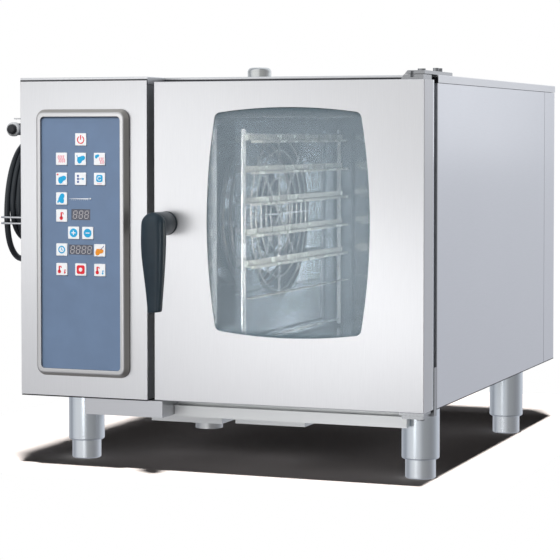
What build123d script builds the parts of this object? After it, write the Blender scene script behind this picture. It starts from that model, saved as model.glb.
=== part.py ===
"""Six-tray combi steamer oven: a stainless cabinet on four adjustable legs, with a control column on the
left, a right-hung glazed door with a lever latch, a fan-forced steam cavity and a hand shower on its side.

Units are millimetres. +X is the oven's right-hand side seen from the front, +Y its back, +Z up. The origin
is on the floor, under the centre of the oven's overall envelope.
"""
from build123d import *
import math
import os

os.makedirs("parts", exist_ok=True)

# ---------------------------------------------------------------- driving dimensions
CABINET_W = 900.0          # over the two side panels
LEG_H = 150.0              # floor to the underside of the door
DOOR_H = 665.0
DOOR_T = 67.5
COLUMN_W = 297.0           # control column, flush with the door
DOOR_GAP = 16.0            # between the column and the door
BODY_SETBACK = 92.0        # door front to the front frame
DEPTH = 1110.0             # door front to rear panel
SHEET = 1.5                # stainless casing sheet
HANDLE_REACH = 82.0        # lever in front of the door
FITTING_REACH = 34.0       # water inlets behind the rear panel
SHOWER_REACH = 80.0        # hose bracket beyond the left side
LID_OVERHANG = 1.0         # top cover beyond the sides

# ---------------------------------------------------------------- derived places
LEFT = (SHOWER_REACH - LID_OVERHANG - CABINET_W) / 2
RIGHT = LEFT + CABINET_W
FRONT = (HANDLE_REACH - FITTING_REACH - DEPTH) / 2
REAR = FRONT + DEPTH
BODY_FRONT = FRONT + BODY_SETBACK
DOOR_LEFT = LEFT + COLUMN_W + DOOR_GAP
DOOR_BOTTOM = LEG_H
DOOR_TOP = DOOR_BOTTOM + DOOR_H
PANEL_TOP = DOOR_TOP + 3
LID_TOP = DOOR_TOP + 11
LID_SKIRT = 16.0
PAN_BOTTOM = LEG_H - 3
PAN_TOP = PAN_BOTTOM + 2
SIDE_TOP = LID_TOP - LID_SKIRT - 1
REAR_WRAP = 103.0          # depth of the rear panel's corner flanges

# legs
LEG_XS = (LEFT + 91, RIGHT - 46)
LEG_YS = (FRONT + 130, FRONT + 823)
TUBE_R = 39.0
FOOT_R = 31.5
TUBE_BOTTOM = 40.0
STEM_R = 10.0

# cavity
CAVITY_LEFT = LEFT + 342
MOUTH_LEFT = LEFT + 390
CAVITY_RIGHT = LEFT + 835
CAVITY_FRONT = BODY_FRONT + 2
CAVITY_REAR = FRONT + 800
CAVITY_FLOOR = 245.0
CAVITY_ROOF = 741.0
LINER_T = 2.0
INSULATION_T = 34.0

# fan, on the cavity's left wall
FAN_Y = FRONT + 400
FAN_Z = 528.0
FAN_R = 130.0
SHAFT_R = 8.0

# door
PIVOT_X = RIGHT - 18
PIVOT_Y = FRONT + 40
PIN_R = 8.0
WINDOW_X = LEFT + 609
WINDOW_Z = 525.5
WINDOW_CORNER = (158.0, 224.0)     # half width and half height at the corners
WINDOW_BULGE = (19.5, 11.5)        # how far the sides and the ends bow out
HUB_X = LEFT + 342
HUB_Z = 521.0

# keypad
KEYPAD_X = LEFT + 149
KEYPAD_Z = 476.0
KEYPAD_W = 185.0
KEYPAD_H = 533.0
BEZEL_BAND = 16.0
BEZEL_PROUD = 17.0
BEZEL_FOOT = 5.0
BEZEL_SLOPE = 32.0
KEYPAD_PROUD = 12.0
KEYPAD_T = 6.0
KEY_SIDE = 26.0
KEY_PROUD = 1.6
KEY_COLUMN = 44.5
KEY_PAIR = 16.5

# name, distance right of the keypad's middle, height above the floor
KEYS = (
    ("key_power", 1, 695),
    ("key_hot_air", -KEY_COLUMN, 654),
    ("key_steam", 0, 654),
    ("key_combi", KEY_COLUMN, 654),
    ("key_low_steam", -KEY_COLUMN, 612),
    ("key_fan_speed", 0, 612),
    ("key_cooldown", KEY_COLUMN, 612),
    ("key_humidity", -KEY_COLUMN, 570),
    ("key_temperature", -KEY_COLUMN, 534),
    ("key_plus", -KEY_PAIR, 498),
    ("key_minus", KEY_PAIR, 498),
    ("key_timer", -KEY_COLUMN, 462),
    ("key_core_probe", KEY_COLUMN, 462),
    ("key_probe_low", -KEY_COLUMN, 420.5),
    ("key_start_stop", 0, 420.5),
    ("key_probe_high", KEY_COLUMN, 420.5),
)
# left edge and right edge from the keypad's middle, lower edge and upper edge above the floor
DISPLAYS = ((-22, 22, 525, 548), (-28, 28, 452, 473))

# vent and drain
VENT_X = LEFT + 431
VENT_Y = FRONT + 300
VENT_R = 26.0
VENT_TOP = 852.0
DRAIN_X = LEFT + 339
DRAIN_Y = FRONT + 232
DRAIN_R = 30.0

# hand shower on the left side
HOSE_R = 6.5
COIL_Y = FRONT + 150
COIL_Z = 558.0
COIL_HALF = (100.0, 137.0)         # half depth and half height over the outermost turn
COIL_HOLE_Z = 571.5
COIL_HOLE_HALF = (66.0, 110.5)
COIL_X = (LEFT - 72, LEFT - 16)
ELBOW_Y = FRONT + 243
ELBOW_Z = 398.0
HOSE_START_Z = 432.0
GUN_X = LEFT - 50
GUN_Z = 717.0
GUN_FRONT = FRONT + 48
GUN_TAIL = FRONT + 213


# ---------------------------------------------------------------- helpers
def block(x, y, z, mode=Mode.ADD):
    """A box between two corners, given as (low, high) pairs."""
    centre = [(pair[0] + pair[1]) / 2 for pair in (x, y, z)]
    with Locations(tuple(centre)):
        Box(x[1] - x[0], y[1] - y[0], z[1] - z[0], mode=mode)


def rod(start, axis, radius, length, mode=Mode.ADD):
    """A cylinder from a start point along "x", "y" or "z"."""
    turn = {"x": (0, 90, 0), "y": (-90, 0, 0), "z": (0, 0, 0)}[axis]
    with Locations(Location(start, turn)):
        Cylinder(radius, length, align=(Align.CENTER, Align.CENTER, Align.MIN), mode=mode)


def save(piece, name):
    piece.part.label = name
    export_step(piece.part, f"parts/{name}.step")


def column_outline(x_left, x_right, y_front, y_step, y_rear, step_x):
    """The cabinet's plan: the control column stands forward of the body behind the door."""
    Polyline(
        (x_left, y_front), (step_x, y_front), (step_x, y_step), (x_right, y_step),
        (x_right, y_rear), (x_left, y_rear), close=True,
    )


def barrel_window(half_w, half_h, bulge_w, bulge_h, corner_r):
    """A window outline whose four sides bow outwards, with rounded corners."""
    with BuildSketch(mode=Mode.PRIVATE) as outline:
        with BuildLine():
            ThreePointArc((-half_w, -half_h), (0, -half_h - bulge_h), (half_w, -half_h))
            ThreePointArc((half_w, -half_h), (half_w + bulge_w, 0), (half_w, half_h))
            ThreePointArc((half_w, half_h), (0, half_h + bulge_h), (-half_w, half_h))
            ThreePointArc((-half_w, half_h), (-half_w - bulge_w, 0), (-half_w, -half_h))
        make_face()
        fillet(outline.vertices(), corner_r)
    return outline.sketch


# ---------------------------------------------------------------- base frame, legs and feet
RAIL_W = 40.0
RAIL_WALL = 3.0
RAIL_Z = (PAN_BOTTOM - 35, PAN_BOTTOM)
RAIL_CLEAR = 1.0

LONG_RAIL_XS = (LEFT + 185, RIGHT - 185)

with BuildPart() as base_frame:
    for rail_x in LONG_RAIL_XS:
        span = (LEG_YS[0] + RAIL_W / 2, LEG_YS[1] - RAIL_W / 2)
        block((rail_x - RAIL_W / 2, rail_x + RAIL_W / 2), span, RAIL_Z)
        block((rail_x - RAIL_W / 2 + RAIL_WALL, rail_x + RAIL_W / 2 - RAIL_WALL), span,
              (RAIL_Z[0] + RAIL_WALL, RAIL_Z[1] - RAIL_WALL), Mode.SUBTRACT)
    for leg_y in LEG_YS:
        span = (LEG_XS[0] + TUBE_R + RAIL_CLEAR, LEG_XS[1] - TUBE_R - RAIL_CLEAR)
        block(span, (leg_y - RAIL_W / 2, leg_y + RAIL_W / 2), RAIL_Z)
        block(span, (leg_y - RAIL_W / 2 + RAIL_WALL, leg_y + RAIL_W / 2 - RAIL_WALL),
              (RAIL_Z[0] + RAIL_WALL, RAIL_Z[1] - RAIL_WALL), Mode.SUBTRACT)
save(base_frame, "base_frame")

NUT_Z = (92.0, 100.0)
TUBE_BORE = TUBE_R - 3
COLLAR_BORE = FOOT_R + 0.5
COLLAR_H = 7.0

with BuildPart() as leg_tubes:
    for leg_x in LEG_XS:
        for leg_y in LEG_YS:
            rod((leg_x, leg_y, TUBE_BOTTOM), "z", TUBE_R, PAN_BOTTOM - TUBE_BOTTOM)
    fillet(leg_tubes.edges().filter_by(GeomType.CIRCLE).group_by(Axis.Z)[0], 4)
    for leg_x in LEG_XS:
        for leg_y in LEG_YS:
            rod((leg_x, leg_y, TUBE_BOTTOM), "z", COLLAR_BORE, COLLAR_H, Mode.SUBTRACT)
            rod((leg_x, leg_y, TUBE_BOTTOM + COLLAR_H), "z", TUBE_BORE,
                NUT_Z[0] - TUBE_BOTTOM - COLLAR_H, Mode.SUBTRACT)
            rod((leg_x, leg_y, NUT_Z[0]), "z", STEM_R + 0.06, NUT_Z[1] - NUT_Z[0], Mode.SUBTRACT)
            rod((leg_x, leg_y, NUT_Z[1]), "z", TUBE_BORE, PAN_BOTTOM - NUT_Z[1], Mode.SUBTRACT)
save(leg_tubes, "leg_tubes")

FOOT_TOP = 68.0
STEM_TOP = 132.0
for row, leg_y in zip(("front", "rear"), LEG_YS):
    for side, leg_x in zip(("left", "right"), LEG_XS):
        with BuildPart() as foot:
            rod((leg_x, leg_y, 0), "z", FOOT_R, FOOT_TOP)
            chamfer(foot.edges().group_by(Axis.Z)[0], 2)
            rod((leg_x, leg_y, FOOT_TOP), "z", STEM_R, STEM_TOP - FOOT_TOP)
        save(foot, f"foot_{row}_{side}")

# ---------------------------------------------------------------- casing
SIDE_REAR = REAR - REAR_WRAP - 2

with BuildPart() as right_side_panel:
    block((RIGHT - SHEET, RIGHT), (BODY_FRONT, SIDE_REAR), (PAN_TOP, SIDE_TOP))
    block((RIGHT - 14, RIGHT - SHEET), (BODY_FRONT, BODY_FRONT + SHEET), (PAN_TOP, SIDE_TOP))
    outer_corner = right_side_panel.edges().filter_by(Axis.Z).sort_by_distance((RIGHT, BODY_FRONT, 400))[0]
    fillet(outer_corner, 1.2)
save(right_side_panel, "right_side_panel")

with BuildPart() as left_side_panel:
    block((LEFT, LEFT + SHEET), (FRONT + 2 * SHEET, SIDE_REAR), (PAN_TOP, SIDE_TOP))
save(left_side_panel, "left_side_panel")

LOUVRE_ROWS = 10
LOUVRE_PITCH = 22.0
LOUVRE_LENGTH = 90.0
LOUVRE_H = 5.0
LOUVRE_Z = 250.0
REAR_INLETS_X = (LEFT + 90, LEFT + 150)
INLET_Z = 205.0
INLET_R = 13.2
GLAND_X = LEFT + 220
GLAND_R = 16.0

with BuildPart() as rear_panel:
    block((LEFT, RIGHT), (REAR - REAR_WRAP, REAR), (PAN_TOP, SIDE_TOP))
    rear_inside = (REAR - REAR_WRAP, REAR - SHEET)
    block((LEFT + SHEET, RIGHT - SHEET), rear_inside, (PAN_TOP, SIDE_TOP), Mode.SUBTRACT)
    fillet(rear_panel.edges().filter_by(Axis.Z).group_by(Axis.Y)[-1], 1.2)
    with BuildSketch(Plane.XZ.offset(-REAR)):
        for louvre_x in (LEFT + 150, RIGHT - 150):
            with Locations((louvre_x, LOUVRE_Z + LOUVRE_PITCH * (LOUVRE_ROWS - 1) / 2)):
                with GridLocations(1, LOUVRE_PITCH, 1, LOUVRE_ROWS):
                    SlotOverall(LOUVRE_LENGTH, LOUVRE_H)
        with Locations((REAR_INLETS_X[0], INLET_Z), (REAR_INLETS_X[1], INLET_Z)):
            Circle(INLET_R + 0.8)
        with Locations((GLAND_X, INLET_Z)):
            Circle(GLAND_R - 3)
    extrude(amount=4, both=True, mode=Mode.SUBTRACT)
save(rear_panel, "rear_panel")

with BuildPart() as top_cover:
    with BuildSketch(Plane.XY.offset(LID_TOP - LID_SKIRT)) as lid_plan:
        with BuildLine():
            column_outline(LEFT - LID_OVERHANG, RIGHT + LID_OVERHANG, FRONT + 2.5, BODY_FRONT,
                           REAR + LID_OVERHANG, LEFT + COLUMN_W)
        make_face()
    extrude(amount=LID_SKIRT)
    fillet(top_cover.edges().group_by(Axis.Z)[-1], 1.5)
    with BuildSketch(Plane.XY.offset(LID_TOP - LID_SKIRT)):
        add(lid_plan.sketch)
        offset(amount=-SHEET, kind=Kind.INTERSECTION, mode=Mode.REPLACE)
    extrude(amount=LID_SKIRT - SHEET, mode=Mode.SUBTRACT)
    rod((VENT_X, VENT_Y, LID_TOP - 5), "z", VENT_R + 0.6, 10, Mode.SUBTRACT)
save(top_cover, "top_cover")

NECK_X = LEFT + 500
NECK_Y = FRONT + 250
NECK_R = 25.0
with BuildPart() as bottom_pan:
    with BuildSketch(Plane.XY.offset(PAN_BOTTOM)):
        with BuildLine():
            column_outline(LEFT, RIGHT, FRONT + 2.5, BODY_FRONT, REAR, LEFT + COLUMN_W - 2)
        make_face()
        with Locations((NECK_X, NECK_Y)):
            Circle(NECK_R + 1, mode=Mode.SUBTRACT)
    extrude(amount=PAN_TOP - PAN_BOTTOM)
save(bottom_pan, "bottom_pan")

MOUTH_R = 18.0
with BuildPart() as front_frame:
    block((LEFT + COLUMN_W + 1, RIGHT - 15), (BODY_FRONT, CAVITY_FRONT), (PAN_TOP, SIDE_TOP))
    with BuildSketch(Plane.XZ.offset(-BODY_FRONT)):
        with Locations(((MOUTH_LEFT + CAVITY_RIGHT) / 2, (CAVITY_FLOOR + CAVITY_ROOF) / 2)):
            RectangleRounded(CAVITY_RIGHT - MOUTH_LEFT, CAVITY_ROOF - CAVITY_FLOOR, MOUTH_R)
    extrude(amount=5, both=True, mode=Mode.SUBTRACT)
save(front_frame, "front_frame")

with BuildPart() as control_front:
    block((LEFT, LEFT + COLUMN_W), (FRONT, FRONT + SHEET), (DOOR_BOTTOM, PANEL_TOP))
    block((LEFT + COLUMN_W - SHEET, LEFT + COLUMN_W), (FRONT + SHEET, BODY_FRONT), (DOOR_BOTTOM, SIDE_TOP))
    for corner_x in (LEFT + COLUMN_W, LEFT):
        fillet(control_front.edges().filter_by(Axis.Z).sort_by_distance((corner_x, FRONT, 400))[0], 1.2)
    block((KEYPAD_X - KEYPAD_W / 2 + 8, KEYPAD_X + KEYPAD_W / 2 - 8), (FRONT - 1, FRONT + 3),
          (KEYPAD_Z - KEYPAD_H / 2 + 8, KEYPAD_Z + KEYPAD_H / 2 - 8), Mode.SUBTRACT)
save(control_front, "control_front")

# ---------------------------------------------------------------- control panel
KEYPAD_R = 8.0
BEZEL_R = 21.0
KEYPAD_FACE = FRONT - KEYPAD_PROUD
KEYPAD_BACK = KEYPAD_FACE + KEYPAD_T
KEY_HOLE = KEY_SIDE + 0.6

with BuildPart() as panel_bezel:
    with BuildSketch(Plane.XZ.offset(-FRONT)):
        with Locations((KEYPAD_X, KEYPAD_Z)):
            RectangleRounded(KEYPAD_W + 2 * BEZEL_BAND, KEYPAD_H + 2 * BEZEL_BAND, BEZEL_R)
    extrude(amount=BEZEL_FOOT)
    with BuildSketch(Plane.XZ.offset(BEZEL_FOOT - FRONT)):
        with Locations((KEYPAD_X, KEYPAD_Z)):
            RectangleRounded(KEYPAD_W + 2 * BEZEL_BAND, KEYPAD_H + 2 * BEZEL_BAND, BEZEL_R)
    extrude(amount=BEZEL_PROUD - BEZEL_FOOT, taper=BEZEL_SLOPE)
    fillet(panel_bezel.edges().group_by(Axis.Y)[0], 4)
    with BuildSketch(Plane.XZ.offset(-FRONT)):
        with Locations((KEYPAD_X, KEYPAD_Z)):
            RectangleRounded(KEYPAD_W + 0.4, KEYPAD_H + 0.4, KEYPAD_R)
    extrude(amount=BEZEL_PROUD + 1, mode=Mode.SUBTRACT)
    fillet(panel_bezel.edges().group_by(Axis.Y)[0], 1)
save(panel_bezel, "panel_bezel")

with BuildPart() as keypad_plate:
    with BuildSketch(Plane.XZ.offset(-KEYPAD_BACK)):
        with Locations((KEYPAD_X, KEYPAD_Z)):
            RectangleRounded(KEYPAD_W, KEYPAD_H, KEYPAD_R)
        with Locations(*[(KEYPAD_X + key_x, key_z) for _, key_x, key_z in KEYS]):
            Rectangle(KEY_HOLE, KEY_HOLE, mode=Mode.SUBTRACT)
        for left_edge, right_edge, low_edge, high_edge in DISPLAYS:
            with Locations((KEYPAD_X + (left_edge + right_edge) / 2, (low_edge + high_edge) / 2)):
                Rectangle(right_edge - left_edge, high_edge - low_edge, mode=Mode.SUBTRACT)
    extrude(amount=KEYPAD_BACK - KEYPAD_FACE)
save(keypad_plate, "keypad_plate")

KEY_STEM = 6.0
KEY_BACK = FRONT + 3.0
for key_name, key_x, key_z in KEYS:
    with BuildPart() as key:
        with BuildSketch(Plane.XZ.offset(-KEYPAD_BACK)):
            with Locations((KEYPAD_X + key_x, key_z)):
                RectangleRounded(KEY_SIDE, KEY_SIDE, 1.5)
        extrude(amount=KEYPAD_BACK - KEYPAD_FACE + KEY_PROUD)
        fillet(key.edges().group_by(Axis.Y)[0], 0.6)
        rod((KEYPAD_X + key_x, KEYPAD_BACK, key_z), "y", KEY_STEM / 2, KEY_BACK - KEYPAD_BACK)
    save(key, key_name)

BOARD_FRONT = FRONT + 6.0
BOARD_T = 2.0
with BuildPart() as led_displays:
    for left_edge, right_edge, low_edge, high_edge in DISPLAYS:
        block((KEYPAD_X + left_edge + 0.3, KEYPAD_X + right_edge - 0.3), (KEYPAD_FACE + 0.5, BOARD_FRONT),
              (low_edge + 0.3, high_edge - 0.3))
save(led_displays, "led_displays")

with BuildPart() as control_board:
    block((KEYPAD_X - 75, KEYPAD_X + 75), (BOARD_FRONT, BOARD_FRONT + BOARD_T),
          (KEYPAD_Z - 235, KEYPAD_Z + 250))
    for chip_x, chip_z, chip_w, chip_h, chip_t in (
        (-30, 300, 60, 50, 28), (35, 300, 45, 60, 22), (0, 380, 110, 30, 14), (-25, 560, 50, 50, 8),
        (30, 640, 40, 70, 18),
    ):
        block((KEYPAD_X + chip_x - chip_w / 2, KEYPAD_X + chip_x + chip_w / 2),
              (BOARD_FRONT + BOARD_T, BOARD_FRONT + BOARD_T + chip_t),
              (chip_z - chip_h / 2, chip_z + chip_h / 2))
save(control_board, "control_board")

# ---------------------------------------------------------------- cavity, insulation and gasket
COVE_R = 18.0
CAVITY_X = (CAVITY_LEFT, CAVITY_RIGHT)
CAVITY_Y = (CAVITY_FRONT, CAVITY_REAR)
CAVITY_Z = (CAVITY_FLOOR, CAVITY_ROOF)
FRONT_LIP = 1.5


def grown(pair, amount):
    return (pair[0] - amount, pair[1] + amount)


with BuildPart() as cavity_liner:
    block(grown(CAVITY_X, LINER_T), (CAVITY_FRONT, CAVITY_REAR + LINER_T), grown(CAVITY_Z, LINER_T))
    fillet(cavity_liner.edges().filter_by(Axis.Y), COVE_R + LINER_T)
    with BuildPart(mode=Mode.PRIVATE) as hollow:
        block(CAVITY_X, (CAVITY_FRONT + FRONT_LIP, CAVITY_REAR), CAVITY_Z)
        fillet(hollow.edges().filter_by(Axis.Y), COVE_R)
    add(hollow.part, mode=Mode.SUBTRACT)
    mouth_y = (CAVITY_FRONT - 1, CAVITY_FRONT + 10)
    block((MOUTH_LEFT, CAVITY_RIGHT), mouth_y, grown(CAVITY_Z, -COVE_R), Mode.SUBTRACT)
    block((MOUTH_LEFT + COVE_R, CAVITY_RIGHT - COVE_R), mouth_y, CAVITY_Z, Mode.SUBTRACT)
    rod((CAVITY_LEFT - 10, FAN_Y, FAN_Z), "x", SHAFT_R + 4, 20, Mode.SUBTRACT)
    rod((VENT_X, VENT_Y, CAVITY_ROOF - 5), "z", VENT_R - 2, 20, Mode.SUBTRACT)
    rod((NECK_X, NECK_Y, CAVITY_FLOOR - 10), "z", NECK_R - 3, 20, Mode.SUBTRACT)
save(cavity_liner, "cavity_liner")

with BuildPart() as insulation_blanket:
    block(grown(CAVITY_X, INSULATION_T), (CAVITY_FRONT + 1, CAVITY_REAR + INSULATION_T),
          grown(CAVITY_Z, INSULATION_T))
    block(grown(CAVITY_X, LINER_T + 0.5), (CAVITY_FRONT - 2, CAVITY_REAR + LINER_T + 0.5),
          grown(CAVITY_Z, LINER_T + 0.5), Mode.SUBTRACT)
    rod((CAVITY_LEFT - 60, FAN_Y, FAN_Z), "x", SHAFT_R + 6, 70, Mode.SUBTRACT)
    rod((VENT_X, VENT_Y, CAVITY_ROOF), "z", VENT_R + 1, 60, Mode.SUBTRACT)
    rod((NECK_X, NECK_Y, CAVITY_FLOOR - 60), "z", NECK_R + 1, 70, Mode.SUBTRACT)
save(insulation_blanket, "insulation_blanket")

GASKET_BAND = 20.0
GASKET_FACE = FRONT + DOOR_T + 0.8
with BuildPart() as door_gasket:
    with BuildSketch(Plane.XZ.offset(-BODY_FRONT)) as gasket_face:
        with Locations(((MOUTH_LEFT + CAVITY_RIGHT) / 2, (CAVITY_FLOOR + CAVITY_ROOF) / 2)):
            RectangleRounded(CAVITY_RIGHT - MOUTH_LEFT + 2 * GASKET_BAND,
                             CAVITY_ROOF - CAVITY_FLOOR + 2 * GASKET_BAND, MOUTH_R + GASKET_BAND)
            RectangleRounded(CAVITY_RIGHT - MOUTH_LEFT + 1, CAVITY_ROOF - CAVITY_FLOOR + 1, MOUTH_R,
                             mode=Mode.SUBTRACT)
    extrude(amount=BODY_FRONT - GASKET_FACE)
    fillet(door_gasket.edges().group_by(Axis.Y)[0], 6)
save(door_gasket, "door_gasket")

# ---------------------------------------------------------------- door
GLASS_T = 5.0
LINER_FRONT = FRONT + 60
TUNNEL_HALF = (184.0, 242.0)
DOOR_BACK = FRONT + DOOR_T
DOOR_X = (DOOR_LEFT, RIGHT)
DOOR_Z = (DOOR_BOTTOM, DOOR_TOP)

with BuildPart() as door_shell:
    block(DOOR_X, (FRONT, LINER_FRONT), DOOR_Z)
    fillet(door_shell.edges().group_by(Axis.Y)[0], 1.4)
    block(grown(DOOR_X, -SHEET), (FRONT + SHEET, LINER_FRONT), grown(DOOR_Z, -SHEET), Mode.SUBTRACT)
    with BuildSketch(Plane.XZ.offset(-FRONT)):
        with Locations((WINDOW_X, WINDOW_Z)):
            add(barrel_window(*WINDOW_CORNER, *WINDOW_BULGE, 14))
        with Locations((HUB_X, HUB_Z)):
            Circle(SHAFT_R + 1)
    extrude(amount=5, both=True, mode=Mode.SUBTRACT)
save(door_shell, "door_shell")

with BuildPart() as door_inner_liner:
    block(DOOR_X, (LINER_FRONT, DOOR_BACK), DOOR_Z)
    fillet(door_inner_liner.edges().group_by(Axis.Y)[-1], 1.4)
    block(grown(DOOR_X, -SHEET), (LINER_FRONT - 1, DOOR_BACK - SHEET), grown(DOOR_Z, -SHEET), Mode.SUBTRACT)
    tunnel_x = (WINDOW_X - TUNNEL_HALF[0], WINDOW_X + TUNNEL_HALF[0])
    tunnel_z = (WINDOW_Z - TUNNEL_HALF[1], WINDOW_Z + TUNNEL_HALF[1])
    block(tunnel_x, (FRONT + SHEET + GLASS_T + 2, DOOR_BACK - SHEET), tunnel_z)
    block(grown(tunnel_x, -SHEET), (FRONT, DOOR_BACK + 1), grown(tunnel_z, -SHEET), Mode.SUBTRACT)
    rod((HUB_X, FRONT + 20, HUB_Z), "y", SHAFT_R + 0.08, 60, Mode.SUBTRACT)
save(door_inner_liner, "door_inner_liner")

with BuildPart() as outer_glass:
    block(grown(tunnel_x, 6), (FRONT + SHEET + 0.2, FRONT + SHEET + 0.2 + GLASS_T), grown(tunnel_z, 6))
save(outer_glass, "outer_glass")

with BuildPart() as inner_glass:
    block(grown(tunnel_x, -SHEET - 0.3), (DOOR_BACK - SHEET - GLASS_T, DOOR_BACK - SHEET),
          grown(tunnel_z, -SHEET - 0.3))
save(inner_glass, "inner_glass")

GRIP_FRONT = FRONT - HANDLE_REACH
GRIP_T = 27.0
GRIP_TOP_R = 28.0
GRIP_END_HALF = 15.5
GRIP_END_Z = HUB_Z - 181
HUB_R = 25.0

with BuildPart() as door_handle:
    with BuildSketch(Plane.XZ.offset(-(GRIP_FRONT + GRIP_T))):
        with BuildLine():
            Line((HUB_X - GRIP_END_HALF, GRIP_END_Z + 4), (HUB_X - GRIP_TOP_R, HUB_Z - 12))
            crown = (HUB_X, HUB_Z + 22)
            ThreePointArc((HUB_X - GRIP_TOP_R, HUB_Z - 12), crown, (HUB_X + GRIP_TOP_R, HUB_Z - 12))
            Line((HUB_X + GRIP_TOP_R, HUB_Z - 12), (HUB_X + GRIP_END_HALF, GRIP_END_Z + 4))
            ThreePointArc((HUB_X + GRIP_END_HALF, GRIP_END_Z + 4), (HUB_X, GRIP_END_Z),
                          (HUB_X - GRIP_END_HALF, GRIP_END_Z + 4))
        make_face()
    extrude(amount=GRIP_T)
    fillet(door_handle.edges().group_by(Axis.Y)[0], 9)
    fillet(door_handle.edges().group_by(Axis.Y)[-1], 5)
    rod((HUB_X, GRIP_FRONT + 14, HUB_Z), "y", HUB_R, FRONT - 0.5 - GRIP_FRONT - 14)
    rod((HUB_X, FRONT - 22, HUB_Z), "y", SHAFT_R, 30, Mode.SUBTRACT)
save(door_handle, "door_handle")

HOOK_BACK = FRONT + 84
with BuildPart() as latch_hook:
    rod((HUB_X, FRONT - 22, HUB_Z), "y", SHAFT_R, HOOK_BACK - FRONT + 22)
    block((HUB_X - 5, HUB_X + 5), (DOOR_BACK + 2, HOOK_BACK), (HUB_Z, HUB_Z + 19))
    block((HUB_X - 14, HUB_X + 5), (DOOR_BACK + 2, HOOK_BACK), (HUB_Z + 12, HUB_Z + 17))
save(latch_hook, "latch_hook")

with BuildPart() as latch_striker:
    block((HUB_X - 10, HUB_X + 12), (FRONT + 76, BODY_FRONT), (HUB_Z + 24, HUB_Z + 46))
    rod((HUB_X - 8, FRONT + 84, HUB_Z + 35), "x", 5, 18, Mode.SUBTRACT)
save(latch_striker, "latch_striker")

BRACKET_T = 7.0
BRACKET_LEFT = RIGHT - 44
BLOCK_LEFT = RIGHT - 51
HINGE_SLOPE = 6.5
LOW_BRACKET_Z = (DOOR_BOTTOM - 15, DOOR_BOTTOM - 8)
CHEEK_TOP = DOOR_BOTTOM + 84
SOCKET_X = (RIGHT - 31, RIGHT - 23)
BOLT_YS = (BODY_FRONT + 40, BODY_FRONT + 66)
BOLT_R = 6.0


def slanted(x_left, x_right, y, z):
    """A block whose left end leans inwards as it rises."""
    with BuildSketch(Plane.XZ.offset(-y[1])) as side_view:
        Polygon((x_left, z[0]), (x_right, z[0]), (x_right, z[1]), (x_left + HINGE_SLOPE, z[1]), align=None)
    extrude(side_view.sketch, amount=y[1] - y[0])


with BuildPart() as hinge_brackets:
    slanted(BRACKET_LEFT, RIGHT - 2, (FRONT + 8, FRONT + 64), (LID_TOP, LID_TOP + BRACKET_T))
    block((RIGHT - 36, RIGHT - 2), (FRONT + 60, FRONT + 205), (LID_TOP, LID_TOP + BRACKET_T))
    block(SOCKET_X, (FRONT, FRONT + 16), (LID_TOP - 1, LID_TOP + 5), Mode.SUBTRACT)
    for bolt_y in BOLT_YS:
        rod((RIGHT - 16, bolt_y, LID_TOP + BRACKET_T), "z", BOLT_R, 8)
    block((RIGHT - 52, RIGHT - 7), (FRONT + 20, FRONT + 88), LOW_BRACKET_Z)
    block((RIGHT - 30, RIGHT - 0.5), (FRONT + 74, BODY_FRONT), (LOW_BRACKET_Z[0], CHEEK_TOP))
    rod((PIVOT_X, PIVOT_Y, LOW_BRACKET_Z[0] - 5), "z", PIN_R + 0.06, 20, Mode.SUBTRACT)
    rod((PIVOT_X, PIVOT_Y, LID_TOP - 5), "z", PIN_R + 0.06, 20, Mode.SUBTRACT)
save(hinge_brackets, "hinge_brackets")

with BuildPart() as hinge_pivots:
    slanted(BLOCK_LEFT, RIGHT - 4, (FRONT + 6, FRONT + 62), (DOOR_TOP, LID_TOP - 1))
    block(SOCKET_X, (FRONT, FRONT + 16), (DOOR_TOP + 4, LID_TOP), Mode.SUBTRACT)
    rod((PIVOT_X, PIVOT_Y, LID_TOP - 1), "z", PIN_R, BRACKET_T + 5)
    block((RIGHT - 56, RIGHT - 4), (FRONT + 14, FRONT + 62), (LOW_BRACKET_Z[1] + 1, DOOR_BOTTOM))
    rod((PIVOT_X, PIVOT_Y, LOW_BRACKET_Z[0] - 4), "z", PIN_R, BRACKET_T + 5)
save(hinge_pivots, "hinge_pivots")

# ---------------------------------------------------------------- inside the cavity
RACK_XS = (LEFT + 460, LEFT + 796)
RACK_YS = (FRONT + 135, FRONT + 745)
RACK_LEVELS = 6
RACK_PITCH = 67.0
RACK_Z = 357.0
POST_R = 5.0
RUNNER_W = 16.0
RUNNER_T = 2.0
RUNNER_LIP = 13.0

with BuildPart() as side_racks:
    for rack_x, inward in zip(RACK_XS, (1, -1)):
        for post_y in RACK_YS:
            rod((rack_x, post_y, CAVITY_FLOOR + 6), "z", POST_R, CAVITY_ROOF - CAVITY_FLOOR - 30)
        for level in range(RACK_LEVELS):
            runner_z = RACK_Z + RACK_PITCH * level
            inner = rack_x + inward * POST_R
            block(tuple(sorted((inner, inner + inward * RUNNER_W))), (RACK_YS[0] - 8, RACK_YS[1] + 8),
                  (runner_z, runner_z + RUNNER_T))
            block(tuple(sorted((inner, inner + inward * RUNNER_T))), (RACK_YS[0] - 8, RACK_YS[1] + 8),
                  (runner_z, runner_z + RUNNER_LIP))
save(side_racks, "side_racks")

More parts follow.
